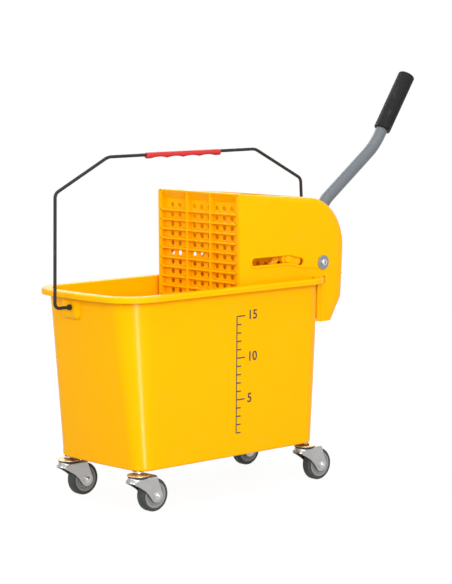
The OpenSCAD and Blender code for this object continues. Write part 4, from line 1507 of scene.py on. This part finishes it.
@dataclass
class Bail:
    """The bent wire handle with its collars and its scalloped grip."""

    low: Vector
    high: Vector
    grip_low: Vector
    grip_high: Vector
    ear_x: float
    wire: float = 5.0
    collar: float = 9.0
    collar_l: float = 4.0
    collar_gap: float = 0.3
    collar_slope: float = 1.2
    collar_rounds: tuple[float, ...] = (0.0, 1.2, 1.4, 0.0, 0.0)
    hook_in: float = 6.7
    rise: float = 220.0
    arm: float = 169.0
    slope_run: float = 100.0
    front_lean: float = 3.6
    rear_lean: float = 8.0
    sag: float = 1.2
    hook_bend: float = 8.0
    bend: float = 11.0
    top_bend: float = 28.0
    scallops: int = 4
    scallop_depth: float = 2.0
    plain: float = 10.0
    hang: float = 1.9
    grip_more: float = 5.0

    @classmethod
    def from_frame(cls, tub: Tub) -> "Bail":
        """Gives the bail with its outer sizes read from the frame."""
        ear_x = tub.rim_x - tub.rim_out + tub.ear_out
        return cls(*cad_box("bail_wire"), *cad_box("bail_grip"), ear_x)

    def handle(self) -> Shape:
        """Gives the bent wire with a swaged collar at each hook.

        Returns:
            The wire.
        """
        r = self.wire / 2
        front, rear = self.low.x + r, self.high.x - r
        top = self.high.z - r
        hook = top - self.rise
        shoulder = hook + self.arm
        tip = self.ear_x - self.hook_in
        y = (self.low.y + self.high.y) / 2
        lean = rear - self.rear_lean
        path = [
            (-tip, hook), (front, hook), (front + self.front_lean, shoulder),
            (front + self.front_lean + self.slope_run, top - self.sag),
            (lean - self.slope_run, top), (lean, shoulder), (rear, hook), (tip, hook),
        ]
        bends = (0, self.hook_bend, self.bend, self.top_bend, self.top_bend, self.bend, self.hook_bend, 0)
        line = rounded(path, bends, 14)
        wire = Shape().sweep(line, [r] * len(line), 20, y)
        start = self.ear_x + self.collar_gap
        end = start + self.collar_l
        big = self.collar / 2
        collar = rounded(
            [(0, start), (big, start), (big, end), (r, end + self.collar_slope), (0, end)],
            self.collar_rounds, 5,
        )
        for side in (-1, 1):
            wire.lathe(collar, Matrix.Translation((0, y, hook)) @ turned(90 * side, "Y"), 28, closed=False)
        return wire

    def grip(self) -> Shape:
        """Gives the grip with finger scallops along its underside.

        Returns:
            The grip.
        """
        start, end = self.grip_low.x - self.grip_more, self.grip_high.x
        radius = (self.grip_high.y - self.grip_low.y) / 2
        y = (self.grip_low.y + self.grip_high.y) / 2
        middle = self.high.z - self.wire / 2 - self.hang
        run = (end - start - 2 * self.plain) / self.scallops
        steps, sides, nose = 120, 28, 2.0
        rings = []
        for i in range(steps + 1):
            x = start + (end - start) * (1 - math.cos(math.pi * i / steps)) / 2
            ends = min(x - start, end - x)
            size = radius - nose + math.sqrt(max(nose ** 2 - max(nose - ends, 0) ** 2, 0))
            along = (x - start - self.plain) / run
            inside = 0 <= along <= self.scallops
            raised = self.scallop_depth * (1 - (2 * (along % 1) - 1) ** 2) if inside else 0.0
            ring = []
            for k in range(sides):
                p = polar(360 * k / sides, size)
                low = max(-p.y / radius, 0) ** 2
                ring.append(Vector((x, y + p.x, middle + p.y + raised * low)))
            rings.append(ring)
        return Shape().loft(rings)

    def build(self) -> None:
        """Makes the bail's pieces."""
        self.handle().piece("bail_handle", WIRE, "bail", "bail_wire")
        self.grip().piece("bail_hand_grip", RED, "bail", "bail_grip", crease=60.0)


@dataclass
class Lever:
    """The bent lever with its grip, and the rocker that it turns."""

    pivot: Vector
    cheek: float
    low_angle: float = 38.8
    up_angle: float = 56.0
    low_l: float = 275.0
    up_l: float = 139.0
    start: float = 18.0
    exit_l: float = 99.0
    mid_angle: float = 36.3
    mid_l: float = 139.0
    tube: float = 19.5
    tube_short: float = 4.0
    bend: float = 45.0
    knee: float = 115.0
    grip_d: float = 28.0
    grip_l: float = 108.0
    grip_collar: float = 4.0
    grip_nose: float = 3.5
    lip: float = 1.5
    washer: float = 23.0
    washer_t: float = 1.6
    head: float = 11.0
    head_h: float = 4.0
    head_dome: float = 2.4
    bore: float = 2.8
    shank: float = 2.7
    shank_l: float = 12.0
    cross: float = 3.2
    cross_w: float = 0.6
    cross_z: float = 1.6
    cross_up: float = 9.0

    def arm(self) -> Shape:
        """Gives the bent tube.

        Returns:
            The tube.
        """
        knee = self.pivot + polar(self.low_angle, self.low_l)
        start = self.pivot + polar(self.low_angle, self.start)
        end = knee + polar(self.up_angle, self.up_l - self.tube_short)
        leave = self.pivot + polar(self.low_angle, self.exit_l)
        elbow = knee - polar(self.mid_angle, self.mid_l)
        line = rounded([start, leave, elbow, knee, end], (0, self.bend, self.bend, self.knee, 0), 24)
        return Shape().sweep(line, [self.tube / 2] * len(line), 48)

    def grip(self) -> Shape:
        """Gives the knurled sleeve with its plain collar and its flat end.

        Returns:
            The sleeve.
        """
        r = self.grip_d / 2
        knee = self.pivot + polar(self.low_angle, self.low_l)
        foot = knee + polar(self.up_angle, self.up_l - self.grip_l)
        place = Matrix.Translation((foot.x, 0, foot.y)) @ turned(90 - self.up_angle, "Y")
        collar, nose = self.grip_collar, self.grip_nose
        skin = KnurledSleeve(
            r, self.grip_l - collar - nose, depth=0.7, starts=18, turns=7.0, around=180, along=220
        )
        sleeve = Shape().add(skin.mesh(GRIP), place @ Matrix.Translation((0, 0, collar)))
        foot_line = rounded(
            [(self.tube / 2 - 0.5, 0), (r, 0), (r, collar), (r - 1, collar + 0.3)], (0, 1.4, 0.5, 0), 4
        )
        sleeve.lathe(foot_line, place, 64, closed=False)
        top = self.grip_l - nose
        end = [Vector((r - 1, top - 0.3)), Vector((r, top))]
        end += arc((r - nose + 1, top), nose - 1, 0, 90, 8)
        end += [Vector((0, self.grip_l - 0.8))]
        return sleeve.lathe(end, place, 64, closed=False)

    def fasteners(self) -> None:
        """Makes the washers and the cross-slotted screws of the pivot."""
        face = self.cheek + self.lip
        half = self.washer / 2
        top = face + self.washer_t
        ring = rounded(oblong(self.bore, face, half, top), (0, 0.3, 0.7, 0.2), 4)
        r, dome, tip = self.head / 2, self.head_dome, top - self.shank_l
        pan = [(0, tip), (self.shank, tip), (self.shank, top), (r, top)]
        pan += [tuple(p) for p in arc((r - dome, top + 1.0), dome, 0, 70, 6)]
        pan += [(0, top + self.head_h - 0.2)]
        washers, screws = Shape(), Shape()
        for side in (-1, 1):
            place = Matrix.Translation((self.pivot.x, 0, self.pivot.y)) @ turned(-90 * side, "X")
            washers.lathe(ring, place, 64)
            screw = Shape().lathe(pan, place, 48, closed=False)
            for x, y in ((self.cross, self.cross_w), (self.cross_w, self.cross)):
                low, high = (-x, -y, top + self.cross_z), (x, y, top + self.cross_up)
                screw.carve(Shape().box(low, high).moved(place))
            screws.join(screw)
        washers.piece("pivot_rings", WASHER, "trolley", "pivot_washers")
        screws.piece("pivot_heads", STEEL, "trolley", "pivot_screws")

    def build(self) -> None:
        """Makes the lever's pieces."""
        self.arm().piece("lever_arm", PAINT, "lever", "lever_tube")
        self.grip().piece("lever_sleeve", GRIP, "lever", "lever_grip", crease=70.0)
        self.fasteners()
        Shape.cad_copy("rocker").soften(0.8).piece("lever_rocker", YELLOW, "lever", "rocker")
        Shape.cad_copy("lever_bolt").soften(0.6).piece("lever_screw", STEEL, "lever", "lever_bolt")
        Shape.cad_copy("pivot_axle").soften(0.5).piece("pivot_shaft", STEEL, "trolley", "pivot_axle")
        Shape.cad_copy("hub_spacers").soften(0.5).piece("pivot_sleeves", SPACER, "trolley", "hub_spacers")


@dataclass
class Caster:
    """One swivel caster about its own stem."""

    name: str
    x: float
    y: float
    wheel: float = 50.0
    trail: float = 26.0
    tyre_w: float = 16.0
    hub: float = 39.0
    crown: float = 34.0
    crown_z: float = 55.0
    sheet: float = 2.4
    leg_in: float = 9.6
    leg_r: float = 11.0
    rear: float = 27.0
    dish_z: float = 58.7
    cone_z: float = 60.8
    base_z: float = 64.0
    ball: float = 3.6
    balls: int = 14
    nose_x: float = -6.0
    nose_l: float = 11.5
    nose_lip: float = 2.2
    nose_out: float = 11.6
    nose_in: float = 9.2
    nose_run: float = 11.0
    nose_rise: float = 3.5
    hood_h: float = 11.0
    hood_bend: float = 4.5
    hood_in: float = 4.1
    leg_top: float = 5.0
    leg_start: float = -14.5
    leg_front: tuple[tuple[float, float], ...] = ((-15.2, 45.5), (-7.0, 41.2), (3.0, 34.8), (10.0, 28.2))
    leg_bends: tuple[float, ...] = (0.0, 0.0, 14.0, 22.0, 22.0, 0.0)
    leg_from: float = 226.0
    leg_to: float = 368.0
    leg_gap: float = 0.05
    leg_edge: float = 0.6
    bore: float = 5.3
    boss: float = 7.0
    boss_gap: float = 0.3
    wheel_bore: float = 3.05
    hub_dish: float = 2.0
    tyre_edge: float = 3.2
    tyre_drop: float = 2.2
    axle_r: float = 2.95
    axle_cap: float = 6.2
    stem_r: float = 5.0
    stem_up: float = 21.0
    rivet_r: float = 7.5
    rivet_z: float = 49.3
    rivet_h: float = 3.0
    neck_r: float = 5.8
    flange_r: float = 9.0
    # Sizes of the black ring of painted shade that fills the gap under the race dish.
    shade_ring_in: float = 14.0
    shade_ring_out: float = 16.3
    shade_ring_z: float = 55.1
    shade_ring_h: float = 2.2
    race_gap: float = 0.05

    @classmethod
    def from_frame(cls, name: str) -> "Caster":
        """Gives the caster with its place read from the frame."""
        low, high = cad_box(name + "_race_dish")
        return cls(name, (low.x + high.x) / 2, (low.y + high.y) / 2)

    @property
    def place(self) -> Matrix:
        """Gives where the stem's foot on the floor lies."""
        return Matrix.Translation((self.x, self.y, 0))

    @property
    def axle(self) -> Matrix:
        """Gives a frame at the wheel's middle with its Z along the axle towards -Y."""
        return Matrix.Translation((self.x + self.trail, self.y, self.wheel / 2)) @ turned(90, "X")

    def arch_section(self, x: float) -> Line:
        """Gives the section of the fork's bent top at a place along it, as points of Y and Z.

        Args:
            x: The place, from the stem.

        Returns:
            The section's outline.
        """
        leg, t, top, bend = self.leg_in + self.sheet, self.sheet, self.crown_z, self.hood_bend
        nose = max(self.nose_x - x, 0)
        wide = math.sqrt(max(1 - (nose / self.nose_out) ** 2, 0.004))
        thin = math.sqrt(max(1 - (nose / self.nose_in) ** 2, 0.0001))
        foot = top - self.hood_h + self.nose_rise * min(nose / self.nose_run, 1)
        middle = Vector((leg - self.hood_in, top - bend))
        outer = [Vector((leg, foot)), Vector((leg + 0.05, top - 7)), Vector((leg + 0.2, top - 5.6))]
        outer += arc(middle, bend, 0, 90, 6)
        inner = [Vector((leg - t + out, z)) for out, z in ((0, foot), (0.05, top - 6.8), (0.2, top - 5.4))]
        inner += arc(middle, bend - t, 0, 90, 6)
        outer = [Vector((p.x * wide, p.y)) for p in outer]
        inner = [Vector((p.x * thin, p.y)) for p in inner]
        flip = [[Vector((-p.x, p.y)) for p in half] for half in (outer, inner)]
        return outer + flip[0][::-1] + flip[1] + inner[::-1]

    def arch(self) -> Shape:
        """Gives the fork's bent top, from the lip in front to its rear edge.

        Returns:
            The bent top.
        """
        front = [self.nose_x - self.nose_l * math.sin(math.radians(90 * i / 10)) for i in range(10, 0, -1)]
        rings = []
        for x in front + [self.nose_x, 4.0, 16.0, self.rear - 0.8, self.rear]:
            lip = max(self.nose_x - x, 0) / self.nose_l
            ring = []
            for p in self.arch_section(x):
                low = min(max((self.crown_z - 4 - p.y) / 4, 0), 1)
                ring.append(Vector((x - self.nose_lip * lip ** 2 * low ** 2, p.x, p.y)))
            rings.append(ring)
        bore = oblong(0, 40, self.bore, 70)
        return Shape().loft(rings).carve(Shape().lathe(bore, Matrix(), 40, closed=False))

    def leg_outline(self) -> Line:
        """Gives a leg's side view, hollowed in front and round at the axle.

        Returns:
            The outline in X and Z.
        """
        axle = Vector((self.trail, self.wheel / 2))
        top = self.crown_z - self.leg_top
        front = [(self.leg_start, top), *self.leg_front, axle + polar(self.leg_from, self.leg_r)]
        line = rounded(front, self.leg_bends, 5) + arc(axle, self.leg_r, self.leg_from, self.leg_to, 18)
        return line + [Vector((self.rear + 0.6, top))]

    def fork(self) -> None:
        """Makes the pressed fork."""
        shape = self.arch()
        start, end = self.leg_in + self.leg_gap, self.leg_in + self.sheet - self.leg_gap
        for side in (-1, 1):
            leg = Shape().slab(self.leg_outline(), *one_side(side, start, end))
            shape.join(leg.soften(self.leg_edge, 40.0, 3))
        shape.moved(self.place).piece(
            self.name + "_horn", SHEET, self.name + "_swivel", self.name + "_fork"
        )

    def wheel_pieces(self) -> None:
        """Makes the wheel's centre and tyre."""
        half, hub, outer = self.tyre_w / 2, self.hub / 2, self.wheel / 2
        boss, reach = self.boss, self.leg_in - self.boss_gap
        face = half - 0.5
        dish = face - self.hub_dish
        one = [(self.wheel_bore, reach), (boss, reach), (boss + 1.2, dish)]
        one += [(hub - 5, dish), (hub - 3.2, face), (hub, face)]
        points = one + [(r, -z) for r, z in one[::-1]]
        radii = [0.4, 0.8, 1.2, 1.2, 0.8, 0] + [0, 0.8, 1.2, 1.2, 0.8, 0.4]
        Shape().lathe(rounded(points, radii, 4), self.axle, 72).piece(
            self.name + "_wheel_centre", HUB, self.name + "_wheel", self.name + "_wheel_hub"
        )
        one = [(outer, half - self.tyre_edge), (outer - self.tyre_drop, half), (hub, half)]
        tread = [(r, -z) for r, z in one[::-1]] + one
        Shape().lathe(rounded(tread, (0.5, 2.0, 3.0, 3.0, 2.0, 0.5), 6), self.axle, 96).piece(
            self.name + "_wheel_tyre", TYRE, self.name + "_wheel", self.name + "_tyre"
        )

    def bearing(self) -> None:
        """Makes the stem, the race dish, a black ring of painted shade under it, the balls and the axle."""
        r, dish, top, base = self.crown / 2, self.dish_z, self.cone_z, self.base_z
        cup = rounded(
            [(5.1, dish), (r - 2.5, dish), (r - 2.5, dish - 1.6), (r, dish - 1.6), (r, dish - 0.4),
             (8.2, top - 0.3), (7.2, top), (5.1, top)],
            (0, 0.8, 0, 0.3, 1.0, 1.5, 0.5, 0), 4,
        )
        Shape().lathe(cup, self.place, 64).piece(
            self.name + "_race_cup", BRASS, "trolley", self.name + "_race_dish"
        )
        # A black ring of painted shade fills the gap between the fork's top and the race dish; it stands for
        # the shadow there, not for a part of the caster.
        shade_ring_top = self.shade_ring_z + self.shade_ring_h
        shade_ring = rounded(oblong(self.shade_ring_in, self.shade_ring_z, self.shade_ring_out, shade_ring_top), [0.3] * 4, 3)
        Shape().lathe(shade_ring, self.place, 64).piece(self.name + "_race_shade_ring", SPACER, "trolley")
        stem_r, neck, flange = self.stem_r, self.neck_r, self.flange_r
        foot, end = self.rivet_z, base + self.stem_up
        head = foot + self.rivet_h
        stem = rounded(
            [(0, foot), (self.rivet_r, foot), (self.rivet_r, head), (stem_r, head), (stem_r, top),
             (neck, top), (neck, base - 1), (flange, base - 1), (flange, base - 0.1),
             (stem_r, base - 0.1), (stem_r, end), (0, end)],
            (0, 1.0, 0.5, 0, 0, 0.4, 0.3, 0.3, 0.3, 0, 1.0, 0), 4,
        )
        Shape().lathe(stem, self.place, 48, closed=False).piece(
            self.name + "_stem_pin", STEEL, "trolley", self.name + "_stem"
        )
        ring = BallRing(self.balls, (stem_r + r - 2.5) / 2, self.ball).mesh(STEEL)
        race_z = self.crown_z + self.race_gap + self.ball / 2
        Shape().add(ring, self.place @ Matrix.Translation((0, 0, race_z))).piece(
            self.name + "_race_balls", STEEL, self.name + "_swivel", self.name + "_balls"
        )
        out, cap = self.leg_in + self.sheet, self.axle_cap
        half = [(0, 0), (self.axle_r, 0), (self.axle_r, out)]
        half += [(cap, out), (cap, out + 0.7), (4.6, out + 0.9)]
        half += [tuple(p) for p in arc((0.6, out + 0.4), 4.0, 8, 82, 6)]
        half += [(0, out + 3.0)]
        axle = Shape()
        for turn in (0, 180):
            axle.lathe(half, self.axle @ turned(turn, "X"), 40, closed=False)
        axle.piece(self.name + "_axle_pin", STEEL, self.name + "_swivel", self.name + "_axle")

    def build(self) -> None:
        """Makes the caster's pieces."""
        self.bearing()
        self.fork()
        self.wheel_pieces()


@dataclass
class LevelScale:
    """A plain printed level scale on the tub's near side."""

    tub: Tub
    x: float = 8.0
    ink: float = 0.15
    sink: float = 1.0
    line: float = 2.0
    short: float = 9.0
    long: float = 17.0
    figure: float = 20.0
    figure_gap: float = 5.0
    first_z: float = 87.0
    litre: float = 12.75
    litres: int = 15
    step: int = 5

    def face(self, z: float) -> float:
        """Gives where the near side's face lies at a height."""
        return -self.tub.level(z)[1]

    def mark(self, x: float, z: float, length: float) -> Shape:
        """Gives one level mark."""
        y, half = self.face(z), self.line / 2
        return Shape().box((x, y - self.ink, z - half), (x + length, y + self.sink, z + half))

    def number(self, value: int, x: float, z: float) -> Shape:
        """Gives a plain number beside its mark.

        Args:
            value: The number.
            x: Where it starts.
            z: Height of its middle.

        Returns:
            The number.
        """
        text = bpy.data.curves.new("figure", "FONT")
        text.body = str(value)
        text.size = self.figure
        text.align_y = "CENTER"
        text.extrude = self.ink
        text.offset = self.line / 5
        obj = in_scene("figure", text)
        made = plain_mesh(obj)
        bpy.data.objects.remove(obj)
        bpy.data.curves.remove(text)
        lean = math.atan2(self.face(z + 1) - self.face(z), 1)
        turn = Matrix.Rotation(math.radians(90) - lean, 4, "X")
        return Shape().add(made, Matrix.Translation((x, self.face(z), z)) @ turn)

    def build(self) -> None:
        """Makes the scale's line, marks and numbers as thin ink."""
        ink = Shape()
        end_z = self.first_z + self.litres * self.litre
        rings = []
        for z in (self.first_z + self.litre, end_z):
            y = self.face(z)
            half = self.line / 2
            corners = oblong(-half, -self.ink, half, self.sink)
            rings.append([Vector((self.x + dx, y + dy, z)) for dx, dy in corners])
        ink.loft(rings)
        for litre in range(1, self.litres + 1):
            z = self.first_z + litre * self.litre
            whole = litre % self.step == 0
            ink.join(self.mark(self.x, z, self.long if whole else self.short))
            if whole:
                ink.join(self.number(litre, self.x + self.long + self.figure_gap, z))
        ink.piece("level_scale", SPACER, "trolley")


@dataclass(frozen=True)
class Lamp:
    """A soft lamp aimed at a place on the object."""

    name: str
    azimuth: float
    height: float
    distance: float
    size: tuple[float, float]
    power: float
    aim: tuple[float, float, float] = (0.0, 0.0, 0.28)
    spread: float = 180.0
    gloss_only: bool = False

    def build(self) -> None:
        """Adds the lamp."""
        data = bpy.data.lights.new(self.name, "AREA")
        data.shape = "RECTANGLE"
        data.size, data.size_y = self.size
        data.energy = self.power
        data.spread = math.radians(self.spread)
        lamp = in_scene(self.name, data)
        lamp.visible_camera = False
        lamp.visible_diffuse = not self.gloss_only
        lamp.location = (*polar(self.azimuth, self.distance), self.height)
        way = Vector(self.aim) - lamp.location
        lamp.rotation_euler = way.to_track_quat("-Z", "Y").to_euler()


@dataclass
class Studio:
    """Camera, lamps, floor and background."""

    camera_at: tuple[float, float, float] = (-2.11844, -2.43999, 0.67928)
    heading: float = -42.02
    pitch: float = 6.57
    roll: float = -0.366
    lens: float = 130.39
    sensor: float = 36.0
    ambient: float = 0.42
    floor_r: float = 2.4
    floor_sides: int = 96
    floor_tone: float = 0.5
    floor_rough: float = 0.9
    floor_specular: float = 0.1
    floor_glow: float = 0.86
    glow: float = 1.1
    shadow_r: float = 0.9

    def camera(self) -> None:
        """Adds the camera at the photograph's viewpoint."""
        data = bpy.data.cameras.new("camera")
        data.lens = self.lens
        data.sensor_width = self.sensor
        data.sensor_fit = "AUTO"
        camera = in_scene("camera", data)
        turn = turned(self.heading, "Z") @ turned(90 - self.pitch, "X") @ turned(self.roll, "Z")
        camera.matrix_world = Matrix.Translation(self.camera_at) @ turn
        bpy.context.scene.camera = camera

    @staticmethod
    def seen(web: Wiring) -> bpy.types.NodeSocket:
        """Gives a socket that is 1 for rays that show the background: camera, glossy and transmission.

        Args:
            web: The tree to add it to.

        Returns:
            The socket.
        """
        path = web.tree.nodes.new("ShaderNodeLightPath").outputs
        total = path["Is Camera Ray"]
        for name in ("Is Glossy Ray", "Is Transmission Ray"):
            total = web.math("MAXIMUM", total, path[name])
        return total

    def world(self) -> None:
        """Sets a white background over a plain grey light."""
        world = bpy.data.worlds.new("studio")
        bpy.context.scene.world = world
        world.use_nodes = True
        web = Wiring(world.node_tree)
        back = world.node_tree.nodes["Background"].inputs
        back["Color"].default_value = (1, 1, 1, 1)
        level = web.node("ShaderNodeMapRange", Value=self.seen(web), To_Min=self.ambient, To_Max=1.0)
        world.node_tree.links.new(level, back["Strength"])

    def floor(self) -> None:
        """Adds the pale floor, which glows white to the camera and keeps the shadow."""
        mesh = bpy.data.meshes.new("floor")
        sides = range(self.floor_sides)
        edge = [(*polar(360 / len(sides) * i, self.floor_r), 0) for i in sides]
        mesh.from_pydata(edge, [], [tuple(sides)])
        floor = in_scene("floor", mesh)
        paint = bpy.data.materials.new("pale_floor")
        paint.use_nodes = True
        nodes, link = paint.node_tree.nodes, paint.node_tree.links.new
        web = Wiring(paint.node_tree)
        shader = nodes["Principled BSDF"]
        shader.inputs["Base Color"].default_value = (*[self.floor_tone] * 3, 1)
        shader.inputs["Roughness"].default_value = self.floor_rough
        shader.inputs["Specular IOR Level"].default_value = self.floor_specular
        reach = web.node(
            "ShaderNodeVectorMath", "Value", operation="LENGTH", i0=web.node("ShaderNodeTexCoord", "Object")
        )
        fade = web.node(
            "ShaderNodeMapRange", interpolation_type="SMOOTHSTEP", Value=reach,
            From_Min=self.shadow_r / 3, From_Max=self.shadow_r, To_Min=self.floor_glow,
        )
        glow = web.node("ShaderNodeEmission", Strength=self.glow)
        share = web.math("MULTIPLY", self.seen(web), fade)
        mix = web.node("ShaderNodeMixShader", i0=share, i1=shader.outputs["BSDF"], i2=glow)
        link(mix, nodes["Material Output"].inputs["Surface"])
        mesh.materials.append(paint)

    def build(self) -> None:
        """Sets up the studio."""
        bpy.context.scene.view_settings.view_transform = "Standard"
        self.camera()
        self.world()
        self.floor()
        for lamp in (
            Lamp(
                "strip", -131.8, 0.14, 0.387, (0.04, 0.26), 0.065,
                aim=(-0.165, -0.09, 0.197), spread=25.0, gloss_only=True,
            ),
            Lamp("front", -98.0, 1.2, 2.5, (1.8, 1.4), 33.0),
            Lamp("near", -131.0, 1.15, 2.9, (1.4, 1.2), 32.5),
            Lamp("side", 172.0, 1.4, 2.6, (1.8, 1.6), 24.5),
            Lamp("back", 45.0, 1.6, 2.6, (1.8, 1.6), 26.0),
            Lamp("top", -125.0, 2.6, 0.7, (1.3, 1.3), 20.0),
            Lamp("rim", 98.0, 1.9, 2.2, (2.0, 0.8), 30.0, gloss_only=True),
        ):
            lamp.build()


def main() -> None:
    """Builds the trolley's sub-assemblies and the studio in order."""
    logging.basicConfig(level=logging.INFO, format="%(name)s: %(message)s")
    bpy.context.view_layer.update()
    tub = Tub.from_frame()
    tub.build()
    casing = Casing.from_frame(tub)
    casing.build()
    grid = Grid.from_frame(casing)
    grid.build()
    Press.from_frame(grid).build()
    Bail.from_frame(tub).build()
    Lever(casing.pivot, casing.cheek).build()
    for end in ("front", "rear"):
        for side in ("left", "right"):
            Caster.from_frame(f"{end}_{side}").build()
    LevelScale(tub).build()
    Studio().build()


if __name__ == "__main__":
    main()
